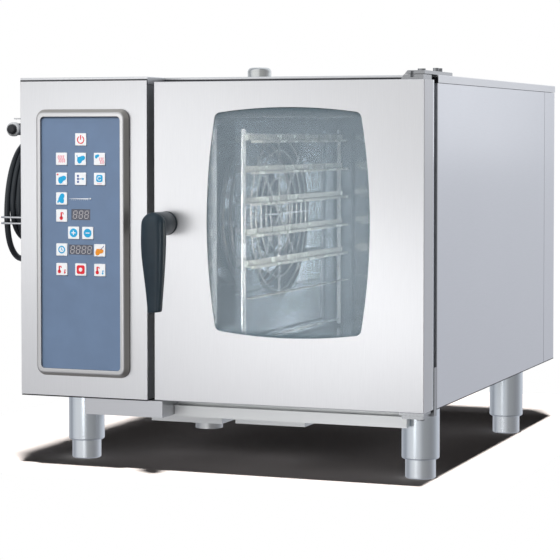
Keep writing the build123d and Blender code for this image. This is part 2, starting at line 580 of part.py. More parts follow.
GUARD_X = LEFT + 438
GUARD_T = 1.5
GUARD_HOLE = 188.0
WIRE_R = 2.0
WIRE_RINGS = (52, 82, 112, 142, 172)
with BuildPart() as fan_guard:
    guard_y = (CAVITY_FRONT + 45, CAVITY_REAR - 40)
    block((GUARD_X, GUARD_X + GUARD_T), guard_y, (CAVITY_FLOOR + 4, CAVITY_ROOF - 4))
    rod((GUARD_X - 5, FAN_Y, FAN_Z), "x", GUARD_HOLE, 12, Mode.SUBTRACT)
    wire_x = GUARD_X + GUARD_T / 2
    for ring_r in WIRE_RINGS:
        with Locations(Location((wire_x, FAN_Y, FAN_Z), (0, 90, 0))):
            Torus(ring_r, WIRE_R)
    for spoke in range(4):
        with Locations(Location((wire_x, FAN_Y, FAN_Z), (45 * spoke, 0, 0))):
            Box(2 * WIRE_R, 2 * WIRE_R, 2 * GUARD_HOLE + 4)
save(fan_guard, "fan_guard")

WHEEL_X = (LEFT + 356, LEFT + 414)
BLADES = 14
BLADE_T = 2.0
BLADE_INNER = 82.0
BLADE_LEAN = 35.0
MOTOR_X = (LEFT + 178, LEFT + 288)
with BuildPart() as fan_wheel:
    rod((WHEEL_X[0], FAN_Y, FAN_Z), "x", FAN_R, 3)
    rod((WHEEL_X[1] - 3, FAN_Y, FAN_Z), "x", FAN_R, 3)
    rod((WHEEL_X[1] - 4, FAN_Y, FAN_Z), "x", BLADE_INNER + 8, 5, Mode.SUBTRACT)
    rod((WHEEL_X[0], FAN_Y, FAN_Z), "x", 20, 34)
    blade_length = FAN_R - BLADE_INNER - 4
    for blade in range(BLADES):
        angle = 360 / BLADES * blade
        middle = (FAN_R + BLADE_INNER) / 2
        blade_y = FAN_Y + middle * math.cos(math.radians(angle))
        blade_z = FAN_Z + middle * math.sin(math.radians(angle))
        blade_place = (sum(WHEEL_X) / 2, blade_y, blade_z)
        with Locations(Location(blade_place, (angle + BLADE_LEAN, 0, 0))):
            Box(WHEEL_X[1] - WHEEL_X[0] - 2, blade_length, BLADE_T)
    rod((MOTOR_X[0] + 40, FAN_Y, FAN_Z), "x", SHAFT_R, WHEEL_X[0] - MOTOR_X[0] - 40)
save(fan_wheel, "fan_wheel")

MOTOR_R = 62.0
with BuildPart() as fan_motor:
    rod((MOTOR_X[0], FAN_Y, FAN_Z), "x", MOTOR_R, MOTOR_X[1] - MOTOR_X[0])
    fillet(fan_motor.edges().group_by(Axis.X)[0], 10)
    block((MOTOR_X[1], LEFT + 298), (FAN_Y - 80, FAN_Y + 80), (FAN_Z - 80, FAN_Z + 80))
    rod((MOTOR_X[0] + 38, FAN_Y, FAN_Z), "x", SHAFT_R + 0.06, 200, Mode.SUBTRACT)
save(fan_motor, "fan_motor")

ELEMENT_R = 158.0
ELEMENT_WIRE = 4.5
ELEMENT_XS = (LEFT + 366, LEFT + 385, LEFT + 404)
with BuildPart() as heating_element:
    for ring_x in ELEMENT_XS:
        with Locations(Location((ring_x, FAN_Y, FAN_Z), (0, 90, 0))):
            Torus(ELEMENT_R, ELEMENT_WIRE)
    for leg_y in (FAN_Y - 12, FAN_Y + 12):
        rod((CAVITY_LEFT, leg_y, FAN_Z - ELEMENT_R), "x", ELEMENT_WIRE, ELEMENT_XS[-1] - CAVITY_LEFT)
    element_foot = FAN_Z - ELEMENT_R
    block((CAVITY_LEFT, CAVITY_LEFT + 4), grown((FAN_Y, FAN_Y), 28), grown((element_foot, element_foot), 14))
save(heating_element, "heating_element")

# ---------------------------------------------------------------- vent, drain, drip tray and air filter
with BuildPart() as vent_chimney:
    rod((VENT_X, VENT_Y, CAVITY_ROOF + LINER_T), "z", VENT_R, VENT_TOP - CAVITY_ROOF - LINER_T)
    fillet(vent_chimney.edges().group_by(Axis.Z)[-1], 1)
    rod((VENT_X, VENT_Y, LID_TOP), "z", VENT_R + 8, 2)
    rod((VENT_X, VENT_Y, CAVITY_ROOF), "z", VENT_R - 2, 200, Mode.SUBTRACT)
save(vent_chimney, "vent_chimney")

TRAP_X = (LEFT + 215, LEFT + 382)
TANK_X = (LEFT + 414, LEFT + 574)
TRAP_Y = (FRONT + 200, FRONT + 300)
TRAP_Z = (77.0, 140.0)
TANK_Z = (80.0, 140.0)
DRAIN_END = 64.0
with BuildPart() as drain_trap:
    block(TRAP_X, TRAP_Y, TRAP_Z)
    block(TANK_X, TRAP_Y, TANK_Z)
    rod((TRAP_X[1] - 2, FRONT + 250, 112), "x", 15, TANK_X[0] - TRAP_X[1] + 4)
    rod((NECK_X, NECK_Y, TANK_Z[1]), "z", NECK_R, CAVITY_FLOOR - LINER_T - TANK_Z[1])
    rod((DRAIN_X, DRAIN_Y, DRAIN_END), "z", DRAIN_R, TRAP_Z[0] - DRAIN_END)
    block(grown(TRAP_X, -2), grown(TRAP_Y, -2), grown(TRAP_Z, -2), Mode.SUBTRACT)
    block(grown(TANK_X, -2), grown(TRAP_Y, -2), grown(TANK_Z, -2), Mode.SUBTRACT)
    rod((TRAP_X[1] - 5, FRONT + 250, 112), "x", 13, TANK_X[0] - TRAP_X[1] + 10, Mode.SUBTRACT)
    rod((NECK_X, NECK_Y, TANK_Z[1] - 5), "z", NECK_R - 3, 200, Mode.SUBTRACT)
    rod((DRAIN_X, DRAIN_Y, DRAIN_END - 1), "z", DRAIN_R - 3, 30, Mode.SUBTRACT)
save(drain_trap, "drain_trap")

TRAY_X = (LEFT + 328, LEFT + 843)
TRAY_Y = (FRONT + 69, FRONT + 89)
TRAY_Z = (109.0, 132.0)
with BuildPart() as drip_tray:
    block(TRAY_X, TRAY_Y, TRAY_Z)
    block(grown(TRAY_X, -SHEET), grown(TRAY_Y, -SHEET), (TRAY_Z[0] + SHEET, TRAY_Z[1] + 1), Mode.SUBTRACT)
    block(TRAY_X, (TRAY_Y[1] - SHEET, TRAY_Y[1]), (TRAY_Z[1], PAN_BOTTOM))
    block((TRAY_X[0], LEG_XS[1] - TUBE_R - 6), (TRAY_Y[1] - SHEET, TRAY_Y[1] + 18),
          (PAN_BOTTOM - SHEET, PAN_BOTTOM))
save(drip_tray, "drip_tray")

FILTER_X = (LEFT + 146, LEFT + 327)
FILTER_Y = (FRONT + 10, FRONT + 86)
FILTER_Z = (112.0, PAN_BOTTOM)
FILTER_SLOTS = 14
with BuildPart() as air_filter:
    block(FILTER_X, FILTER_Y, FILTER_Z)
    fillet(air_filter.edges().filter_by(Axis.Z).group_by(Axis.Y)[0], 1.5)
    with BuildSketch(Plane.XY.offset(FILTER_Z[0])):
        with Locations((sum(FILTER_X) / 2, sum(FILTER_Y) / 2)):
            with GridLocations((FILTER_X[1] - FILTER_X[0] - 20) / FILTER_SLOTS, 1, FILTER_SLOTS, 1):
                SlotOverall(56, 6, rotation=90)
    extrude(amount=24, mode=Mode.SUBTRACT)
save(air_filter, "air_filter")

with BuildPart() as pipe_fittings:
    for inlet_x in REAR_INLETS_X:
        rod((inlet_x, REAR - 30, INLET_Z), "y", INLET_R - 2.2, 30)
        rod((inlet_x, REAR, INLET_Z), "y", INLET_R, FITTING_REACH)
        rod((inlet_x, REAR, INLET_Z), "y", INLET_R + 5, 6)
        rod((inlet_x, REAR - 30, INLET_Z), "y", 8, 40 + FITTING_REACH, Mode.SUBTRACT)
    rod((GLAND_X, REAR, INLET_Z), "y", GLAND_R, 22)
    chamfer(pipe_fittings.faces().sort_by_distance((GLAND_X, REAR + 22, INLET_Z))[0].edges(), 4)
    rod((GLAND_X, REAR - 12, INLET_Z), "y", GLAND_R - 4, 12)
    rod((GLAND_X, REAR - 20, INLET_Z), "y", 8, 50, Mode.SUBTRACT)
    rod((LEFT - 22, ELBOW_Y, ELBOW_Z), "x", 9, 22)
    rod((LEFT - 6, ELBOW_Y, ELBOW_Z), "x", 15, 6)
    rod((LEFT - 22, ELBOW_Y, ELBOW_Z - 9), "z", 9, HOSE_START_Z - ELBOW_Z + 9)
save(pipe_fittings, "pipe_fittings")

# ---------------------------------------------------------------- hand shower
WIRE = 2.2
CRADLE_Y = (FRONT + 118, FRONT + 126)
HOOP_ZS = (513.0, 526.0)
HOOP_YS = (FRONT + 40, FRONT + 282)
HOOP_X = LEFT - SHOWER_REACH + WIRE
PEG_Z = 672.0
with BuildPart() as hose_bracket:
    block((LEFT - 3, LEFT), (FRONT + 100, FRONT + 200), (COIL_Z - 20, GUN_Z + 22))
    rod((LEFT - 76, COIL_Y, PEG_Z), "x", 9, 74)
    rod((LEFT - 79, COIL_Y, PEG_Z), "x", 13, 4)
    with BuildSketch(Plane.XZ.offset(-CRADLE_Y[1])):
        with Locations((GUN_X, GUN_Z)):
            Circle(19)
        with Locations(((GUN_X + LEFT) / 2, GUN_Z)):
            Rectangle(LEFT - GUN_X, 20)
        with Locations((GUN_X, GUN_Z)):
            Circle(14.3, mode=Mode.SUBTRACT)
            with Locations((0, 15)):
                Rectangle(22, 30, mode=Mode.SUBTRACT)
    extrude(amount=CRADLE_Y[1] - CRADLE_Y[0])
for hoop_z in HOOP_ZS:
    with BuildPart(mode=Mode.PRIVATE) as hoop:
        with BuildLine() as hoop_path:
            FilletPolyline((LEFT, HOOP_YS[0], hoop_z), (HOOP_X, HOOP_YS[0], hoop_z),
                           (HOOP_X, HOOP_YS[1], hoop_z), (LEFT, HOOP_YS[1], hoop_z), radius=24)
        with BuildSketch(Plane(origin=(LEFT, HOOP_YS[0], hoop_z), z_dir=(-1, 0, 0))):
            Circle(WIRE)
        sweep()
    with hose_bracket:
        add(hoop.part)
save(hose_bracket, "hose_bracket")

with BuildPart() as hose_coil:
    with BuildSketch(Plane.YZ.offset(COIL_X[0])):
        with Locations((COIL_Y, COIL_Z)):
            Ellipse(*COIL_HALF)
        with Locations((COIL_Y, COIL_HOLE_Z)):
            Ellipse(*COIL_HOLE_HALF, mode=Mode.SUBTRACT)
    extrude(amount=COIL_X[1] - COIL_X[0])
    fillet(hose_coil.edges(), 5)
save(hose_coil, "hose_coil")

# x from the left side, y from the door front, z from the floor
SUPPLY_ROUTE = ((-22, 243, 432), (-22, 244, 468), (-23, 244, 504), (-24, 243, 540))
LEAD_ROUTE = (
    (-63, 226, 480), (-61, 256, 522), (-58, 282, 568), (-55, 299, 614), (-52, 304, 660), (-51, 286.5, 696),
    (-50, 253, 717), (-50, 213, 717),
)
BEND_SHARE = 0.45


def hose_tube(route):
    """The hose as a tube on straight runs joined by tangent arcs, each as large as its two runs allow."""
    points = [Vector(LEFT + route_x, FRONT + route_y, route_z) for route_x, route_y, route_z in route]
    radii = []
    for before, corner, after in zip(points, points[1:], points[2:]):
        turn = (corner - before).get_angle(after - corner)
        shorter = min((corner - before).length, (after - corner).length)
        radii.append(BEND_SHARE * shorter / math.tan(math.radians(turn / 2)))
    with BuildPart(mode=Mode.PRIVATE) as tube:
        with BuildLine() as centre_line:
            FilletPolyline(*points, radius=radii)
        with BuildSketch(Plane(origin=points[0], z_dir=points[1] - points[0])):
            Circle(HOSE_R)
        sweep()
    expected = math.pi * HOSE_R ** 2 * centre_line.wire().length
    print("hose bend radii, mm:", [round(radius) for radius in radii])
    print("hose volume over section times length:", round(tube.part.volume / expected, 4))
    return tube.part


with BuildPart() as hose_supply:
    add(hose_tube(SUPPLY_ROUTE))
with BuildPart() as hose_lead:
    add(hose_tube(LEAD_ROUTE))
    add(hose_supply.part)
save(hose_lead, "hose_lead")

GUN_R = 13.0
with BuildPart() as spray_gun:
    rod((GUN_X, GUN_FRONT, GUN_Z), "y", 10.5, 12)
    rod((GUN_X, GUN_FRONT + 12, GUN_Z), "y", 16, 7)
    rod((GUN_X, GUN_FRONT + 19, GUN_Z), "y", GUN_R, 128)
    rod((GUN_X, GUN_FRONT + 147, GUN_Z), "y", 10, GUN_TAIL - GUN_FRONT - 147)
    fillet(spray_gun.edges().filter_by(GeomType.CIRCLE).group_by(Axis.Y)[0], 3)
    block((GUN_X - 4, GUN_X + 4), (GUN_FRONT + 108, GUN_FRONT + 124), (GUN_Z + 10, GUN_Z + 19))
    rod((GUN_X - 6, GUN_FRONT + 116, GUN_Z + 15), "x", 2.06, 12, Mode.SUBTRACT)
save(spray_gun, "spray_gun")

TRIGGER_PIVOT = (GUN_X, GUN_FRONT + 116, GUN_Z + 15)
with BuildPart() as spray_trigger:
    for cheek in (-7.5, 4.5):
        cheek_y = (GUN_FRONT + 111, GUN_FRONT + 121)
        block((GUN_X + cheek, GUN_X + cheek + 3), cheek_y, (GUN_Z + 13.2, GUN_Z + 24))
    block((GUN_X - 7.5, GUN_X + 7.5), (GUN_FRONT + 30, GUN_FRONT + 121), (GUN_Z + 21.5, GUN_Z + 24.5))
    rod((GUN_X - 7.5, TRIGGER_PIVOT[1], TRIGGER_PIVOT[2]), "x", 2, 15)
save(spray_trigger, "spray_trigger")
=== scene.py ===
"""Finish of the six-tray combi steamer oven: camera, lights, materials and the pieces that CAD keeps plain.

Those pieces are the key symbols, digits, lever, hose, handset, tray racks and vent pipe. Everything is in
metres in the part's own frame: +X to the oven's right, +Y to its back, +Z up. Most places come from the
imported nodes' boxes. The hose's route and the racks' levels repeat numbers from the part's source.
"""
import math
import bmesh
import bpy
from mathutils import Euler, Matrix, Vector


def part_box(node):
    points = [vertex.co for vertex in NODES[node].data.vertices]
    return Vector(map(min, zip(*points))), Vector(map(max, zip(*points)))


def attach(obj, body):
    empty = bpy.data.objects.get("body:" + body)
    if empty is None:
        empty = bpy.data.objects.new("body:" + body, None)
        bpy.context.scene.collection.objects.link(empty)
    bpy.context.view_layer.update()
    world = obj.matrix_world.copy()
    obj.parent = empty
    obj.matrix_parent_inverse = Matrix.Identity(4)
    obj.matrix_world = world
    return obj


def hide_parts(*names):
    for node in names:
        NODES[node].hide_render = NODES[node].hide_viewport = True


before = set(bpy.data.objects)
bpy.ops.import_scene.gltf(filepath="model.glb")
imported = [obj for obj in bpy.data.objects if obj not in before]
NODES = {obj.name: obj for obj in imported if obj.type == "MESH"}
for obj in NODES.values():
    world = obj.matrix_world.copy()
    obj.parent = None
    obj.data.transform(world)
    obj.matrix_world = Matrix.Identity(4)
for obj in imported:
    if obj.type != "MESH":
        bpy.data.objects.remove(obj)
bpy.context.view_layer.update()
MM = 0.001

# ---------------------------------------------------------------- datum places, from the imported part
COLUMN_LOW, COLUMN_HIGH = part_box("control_front")
LEFT = COLUMN_LOW.x
FRONT = COLUMN_LOW.y
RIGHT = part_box("door_shell")[1].x


def local(x, y, z):
    """A point from millimetres right of the left side, behind the door front and above the floor."""
    return Vector((LEFT + x * MM, FRONT + y * MM, z * MM))


# ---------------------------------------------------------------- shader nodes
def set_input(tree, socket, value):
    """Feeds a node's input from another node's output, or sets the number or colour there."""
    if isinstance(value, bpy.types.NodeSocket):
        tree.links.new(value, socket)
    else:
        socket.default_value = value


def axes_of(tree, space="Object"):
    """The X, Y and Z sockets of a place, in the part's own coordinates unless another space is named."""
    coord = tree.nodes.new("ShaderNodeTexCoord")
    split = tree.nodes.new("ShaderNodeSeparateXYZ")
    tree.links.new(coord.outputs[space], split.inputs[0])
    return split.outputs


def math_node(tree, operation, *values):
    """A maths node, fed in order by sockets or numbers."""
    node = tree.nodes.new("ShaderNodeMath")
    node.operation = operation
    for socket, value in zip(node.inputs, values):
        set_input(tree, socket, value)
    return node.outputs[0]


def map_range(tree, value, start, end, low, high, interpolation="LINEAR"):
    """A number that goes from low to high while the value goes from start to end."""
    node = tree.nodes.new("ShaderNodeMapRange")
    node.interpolation_type = interpolation
    for name, number in (("From Min", start), ("From Max", end), ("To Min", low), ("To Max", high)):
        node.inputs[name].default_value = number
    tree.links.new(value, node.inputs["Value"])
    return node.outputs["Result"]


def color_ramp(tree, value, stops):
    """A colour ramp with the stops given as (position, colour)."""
    node = tree.nodes.new("ShaderNodeValToRGB")
    elements = node.color_ramp.elements
    while len(elements) < len(stops):
        elements.new(0.5)
    for element, (position, color) in zip(elements, stops):
        element.position = position
        element.color = (*color, 1.0)
    tree.links.new(value, node.inputs["Fac"])
    return node.outputs["Color"]


def mix_colors(tree, factor, first, second, blend="MIX"):
    """The first colour, taken towards the second by a factor. Each is a socket or a constant."""
    node = tree.nodes.new("ShaderNodeMix")
    node.data_type = "RGBA"
    node.blend_type = blend
    for name, value in (("Factor", factor), ("A", first), ("B", second)):
        set_input(tree, node.inputs[name], value)
    return node.outputs["Result"]


# ---------------------------------------------------------------- camera
LENS = 130.67
LENS_SHIFT = -0.1306
CAMERA_PLACE = (RIGHT + 1.1729, FRONT - 3.8606, 0.7025)
CAMERA_PITCH = math.radians(88.0)
CAMERA_YAW = math.radians(20.96)


def make_camera():
    """The photograph's viewpoint: right of the oven, a little above its middle, verticals nearly upright."""
    data = bpy.data.cameras.new("camera")
    data.sensor_width = 36.0
    data.lens = LENS
    data.shift_y = LENS_SHIFT
    camera = bpy.data.objects.new("camera", data)
    bpy.context.scene.collection.objects.link(camera)
    camera.location = Vector(CAMERA_PLACE)
    camera.rotation_euler = Euler((CAMERA_PITCH, 0.0, CAMERA_YAW), "XYZ")
    bpy.context.scene.camera = camera


# ---------------------------------------------------------------- lights and floor
FLOOR_X = (-0.80, 0.64)
FLOOR_Y = (-0.66, 1.0)
FLOOR_COLOR = (0.66, 0.60, 0.565)
SUN_PLACE = (0.5, -0.9, 6.0)
SUN_STRENGTH = 6.4
SUN_ANGLE = math.radians(4.0)

NEUTRAL = (1.0, 1.0, 1.0)
COOL = (0.94, 0.97, 1.0)
MIDDLE = (0.0, 0.0, 0.45)
# name, place, place aimed at, width, height, watts, colour
SOFTBOXES = (
    ("key_light", (-1.2, -4.0, 3.3), MIDDLE, 4.0, 2.4, 240, NEUTRAL),
    ("left_light", (-3.4, -1.6, 2.6), MIDDLE, 3.0, 2.4, 45, NEUTRAL),
    ("right_light", (3.6, 0.9, 2.4), MIDDLE, 3.0, 2.4, 35, COOL),
    ("back_light", (-0.6, 4.2, 2.8), MIDDLE, 4.0, 2.4, 100, NEUTRAL),
    ("top_light", (0.2, 0.2, 4.2), (0.0, 0.0, 0.5), 4.0, 4.0, 80, NEUTRAL),
    ("column_glow", (-0.84, -2.17, 0.60), (-0.1, FRONT, 0.60), 0.7, 0.6, 1.5, NEUTRAL),
    ("door_glow", (-0.16, -2.23, 0.16), (0.4, FRONT, 0.28), 0.5, 0.5, 1.7, NEUTRAL),
    ("side_glow", (RIGHT + 0.62, FRONT + 2.1, 0.98), (RIGHT, FRONT + 0.1, 0.75), 0.36, 0.7, 0.3, NEUTRAL),
    ("cavity_side_light", local(826, 130, 450), local(430, 300, 450), 0.03, 0.34, 4.6, (1.0, 0.98, 0.92)),
    ("cavity_left_light", local(398, 112, 490), local(800, 420, 490), 0.02, 0.40, 2.0, (1.0, 0.98, 0.92)),
    ("cavity_roof_light", local(600, 130, 736), local(560, 330, 400), 0.30, 0.04, 0.5, (1.0, 0.98, 0.94)),
)
# the steel mirrors these; the rest only light it, because the world has the walls that it mirrors
GLOWS = ("column_glow", "door_glow", "side_glow")
MIRRORED = (*GLOWS, "cavity_side_light")
LEVER_STRIP = ("lever_strip", (1.12, -1.62, 0.46), (-0.07, -0.6, 0.44), 0.14, 1.0, 5.0, (0.86, 0.94, 1.0))

# what the steel reflects: brightness by compass direction, from the back through the right to the back again
ROUND_STOPS = (
    (0.00, (1.12, 1.14, 1.19)), (0.09, (1.02, 1.05, 1.11)), (0.14, (0.80, 0.82, 0.86)),
    (0.20, (0.52, 0.52, 0.54)), (0.27, (0.42, 0.42, 0.43)), (0.33, (0.48, 0.48, 0.48)),
    (0.42, (0.55, 0.55, 0.55)), (0.48, (1.05, 1.05, 1.06)), (0.62, (1.16, 1.16, 1.16)),
    (0.69, (0.92, 0.94, 0.98)), (0.74, (0.48, 0.49, 0.52)), (0.80, (0.70, 0.72, 0.76)),
    (1.00, (1.12, 1.14, 1.19)),
)
# and by height, from straight down to straight up
HEIGHT_STOPS = (
    (0.00, (0.30, 0.30, 0.32)), (0.38, (0.47, 0.47, 0.49)), (0.50, (0.66, 0.66, 0.67)),
    (0.60, (0.88, 0.88, 0.88)), (1.00, (0.80, 0.81, 0.83)),
)
# the world's strength as a light on matt surfaces
FILL = 0.030


def make_world():
    """White to the camera; a studio of light and dark walls in reflections; a faint fill otherwise."""
    world = bpy.data.worlds.new("studio")
    world.use_nodes = True
    tree = world.node_tree
    axes = axes_of(tree, "Generated")
    bearing = math_node(tree, "DIVIDE", math_node(tree, "ARCTAN2", axes["X"], axes["Y"]), math.tau)
    walls = color_ramp(tree, math_node(tree, "WRAP", bearing, 1.0, 0.0), ROUND_STOPS)
    shade = color_ramp(tree, map_range(tree, axes["Z"], -1.0, 1.0, 0.0, 1.0), HEIGHT_STOPS)
    studio = mix_colors(tree, 1.0, walls, shade, "MULTIPLY")
    rays = tree.nodes.new("ShaderNodeLightPath").outputs
    seen = mix_colors(tree, rays["Is Camera Ray"], studio, (1.0, 1.0, 1.0, 1.0))
    strength = map_range(tree, rays["Is Diffuse Ray"], 0.0, 1.0, 1.0, FILL)
    background = tree.nodes["Background"]
    tree.links.new(seen, background.inputs["Color"])
    tree.links.new(strength, background.inputs["Strength"])
    bpy.context.scene.world = world


def add_light(name, kind, place, target, energy, color=NEUTRAL, **settings):
    data = bpy.data.lights.new(name, kind)
    data.energy = energy
    data.color = color
    for key, value in settings.items():
        setattr(data, key, value)
    light = bpy.data.objects.new(name, data)
    light.visible_camera = False
    bpy.context.scene.collection.objects.link(light)
    light.location = Vector(place)
    light.rotation_euler = (Vector(target) - light.location).to_track_quat("-Z", "Y").to_euler()
    return light


def softbox(name, place, target, width, height, energy, color):
    return add_light(name, "AREA", place, target, energy, color, shape="RECTANGLE", size=width, size_y=height)


def link_light(light, objects, state, role="receiver"):
    """Limits a light to these objects or keeps it off them, or the same for the shadows of blockers."""
    group = bpy.data.collections.new("_".join((light.name, role, state.lower())))
    for thing in objects:
        group.objects.link(thing)
    for entry in group.collection_objects:
        entry.light_linking.link_state = state
    setattr(light.light_linking, role + "_collection", group)


def make_studio():
    """The camera, the world, and a floor whose own sun draws the oven's shadow on it."""
    make_camera()
    make_world()
    bpy.context.scene.view_settings.view_transform = "Standard"
    (left, right), (near, far) = FLOOR_X, FLOOR_Y
    mesh = bpy.data.meshes.new("floor")
    corners = [(left, near, 0.0), (right, near, 0.0), (right, far, 0.0), (left, far, 0.0)]
    mesh.from_pydata(corners, [], [(0, 1, 2, 3)])
    floor = bpy.data.objects.new("floor", mesh)
    bpy.context.scene.collection.objects.link(floor)
    floor.data.materials.append(plain("studio_floor", FLOOR_COLOR, roughness=0.9, Specular_IOR_Level=0.0))
    floor.visible_glossy = False
    floor_sun = add_light("floor_sun", "SUN", SUN_PLACE, (0.0, 0.0, 0.0), SUN_STRENGTH, angle=SUN_ANGLE)
    link_light(floor_sun, [floor], "INCLUDE")
    for settings in SOFTBOXES:
        light = softbox(*settings)
        light.visible_glossy = light.name in MIRRORED
        kept_off = [floor, NODES["outer_glass"]] if light.name in GLOWS else [floor]
        link_light(light, kept_off, "EXCLUDE")


# ---------------------------------------------------------------- materials
def plain(name, color, metallic=0.0, roughness=0.5, **sockets):
    """A Principled material. Extra sockets are set by name, with underscores for spaces."""
    material = bpy.data.materials.new(name)
    material.use_nodes = True
    shader = material.node_tree.nodes["Principled BSDF"]
    shader.inputs["Base Color"].default_value = (*color, 1.0)
    shader.inputs["Metallic"].default_value = metallic
    shader.inputs["Roughness"].default_value = roughness
    for key, value in sockets.items():
        shader.inputs[key.replace("_", " ")].default_value = value
    material.diffuse_color = (*color, 1.0)
    return material


def noise(tree, stretch, scale, detail):
    """Noise in the part's own coordinates, with its cells stretched where stretch is under 1."""
    coord = tree.nodes.new("ShaderNodeTexCoord")
    mapping = tree.nodes.new("ShaderNodeMapping")
    mapping.inputs["Scale"].default_value = stretch
    texture = tree.nodes.new("ShaderNodeTexNoise")
    texture.inputs["Scale"].default_value = scale
    texture.inputs["Detail"].default_value = detail
    tree.links.new(coord.outputs["Object"], mapping.inputs["Vector"])
    tree.links.new(mapping.outputs["Vector"], texture.inputs["Vector"])
    return texture


def drive(material, socket, value):
    """Links a node's output to a socket of the material's shader."""
    tree = material.node_tree
    tree.links.new(value, tree.nodes["Principled BSDF"].inputs[socket])


# nearly all of a noise texture's values lie between the first two; a tint changes between the second two
NOISE_SPAN = (0.25, 0.75)
TINT_SPAN = (0.3, 0.7)


def vary(material, socket, source, low, high):
    """Drives a number socket between two values by a texture."""
    drive(material, socket, map_range(material.node_tree, source.outputs["Fac"], *NOISE_SPAN, low, high))


def tint(material, source, dark, light):
    """Varies the base colour between two colours by a texture."""
    stops = tuple(zip(TINT_SPAN, (dark, light)))
    drive(material, "Base Color", color_ramp(material.node_tree, source.outputs["Fac"], stops))


def relief(material, source, strength, distance):
    """Raises the surface by a texture, as far as the distance in metres."""
    tree = material.node_tree
    bump = tree.nodes.new("ShaderNodeBump")
    bump.inputs["Strength"].default_value = strength
    bump.inputs["Distance"].default_value = distance
    tree.links.new(source.outputs["Fac"], bump.inputs["Height"])
    drive(material, "Normal", bump.outputs["Normal"])


def shade_by(material, factor, color):
    """Where a factor goes to 1, the base colour goes from what it is to another colour."""
    tree = material.node_tree
    before = tree.nodes["Principled BSDF"].inputs["Base Color"].links[0].from_socket
    drive(material, "Base Color", mix_colors(tree, factor, before, (*color, 1.0)))


def ramp_along(material, axis, start, end, low, high):
    """A number that goes from low at one place on an axis to high at another."""
    tree = material.node_tree
    return map_range(tree, axes_of(tree)[axis], start, end, low, high)


def scaled(color, factor):
    return tuple(min(1.0, channel * factor) for channel in color)


# how a noise's cells are scaled: the same all ways, or drawn out along an axis
EVEN = (1.0, 1.0, 1.0)
ALONG = {"x": (0.02, 1.0, 1.0), "y": (1.0, 0.02, 1.0), "z": (1.0, 1.0, 0.02)}
BRUSHED_LINES = 1500.0
BRUSHED_CLOUDS = 3.2
BRUSHED_GLOSS_SWING = 0.015
BRUSHED_TONES = (0.975, 1.015)
BRUSHED_RELIEF = 0.02 * MM
CAST_RELIEF = 0.1 * MM


def brushed(name, color, roughness, along, depth=0.06, **sockets):
    """Stainless sheet with fine brushing along one axis and faint, broad changes of gloss."""
    material = plain(name, color, metallic=1.0, roughness=roughness, **sockets)
    tree = material.node_tree
    strokes = noise(tree, ALONG[along], BRUSHED_LINES, 4.0)
    clouds = noise(tree, EVEN, BRUSHED_CLOUDS, 2.0)
    vary(material, "Roughness", clouds, roughness - BRUSHED_GLOSS_SWING, roughness + BRUSHED_GLOSS_SWING)
    tint(material, strokes, *(scaled(color, tone) for tone in BRUSHED_TONES))
    relief(material, strokes, depth, BRUSHED_RELIEF)
    return material


def cast(name, color, metallic, roughness, scale, depth, spread=0.06, contrast=0.06, **sockets):
    """A moulded, cast or woven surface: fine grain in its relief, gloss and tone."""
    material = plain(name, color, metallic=metallic, roughness=roughness, **sockets)
    tree = material.node_tree
    grain = noise(tree, EVEN, scale, 4.0)
    clouds = noise(tree, EVEN, scale / 40.0, 2.0)
    vary(material, "Roughness", clouds, roughness - spread, roughness + spread)
    tint(material, clouds, scaled(color, 1.0 - contrast), scaled(color, 1.0 + contrast))
    relief(material, grain, depth, CAST_RELIEF)
    return material


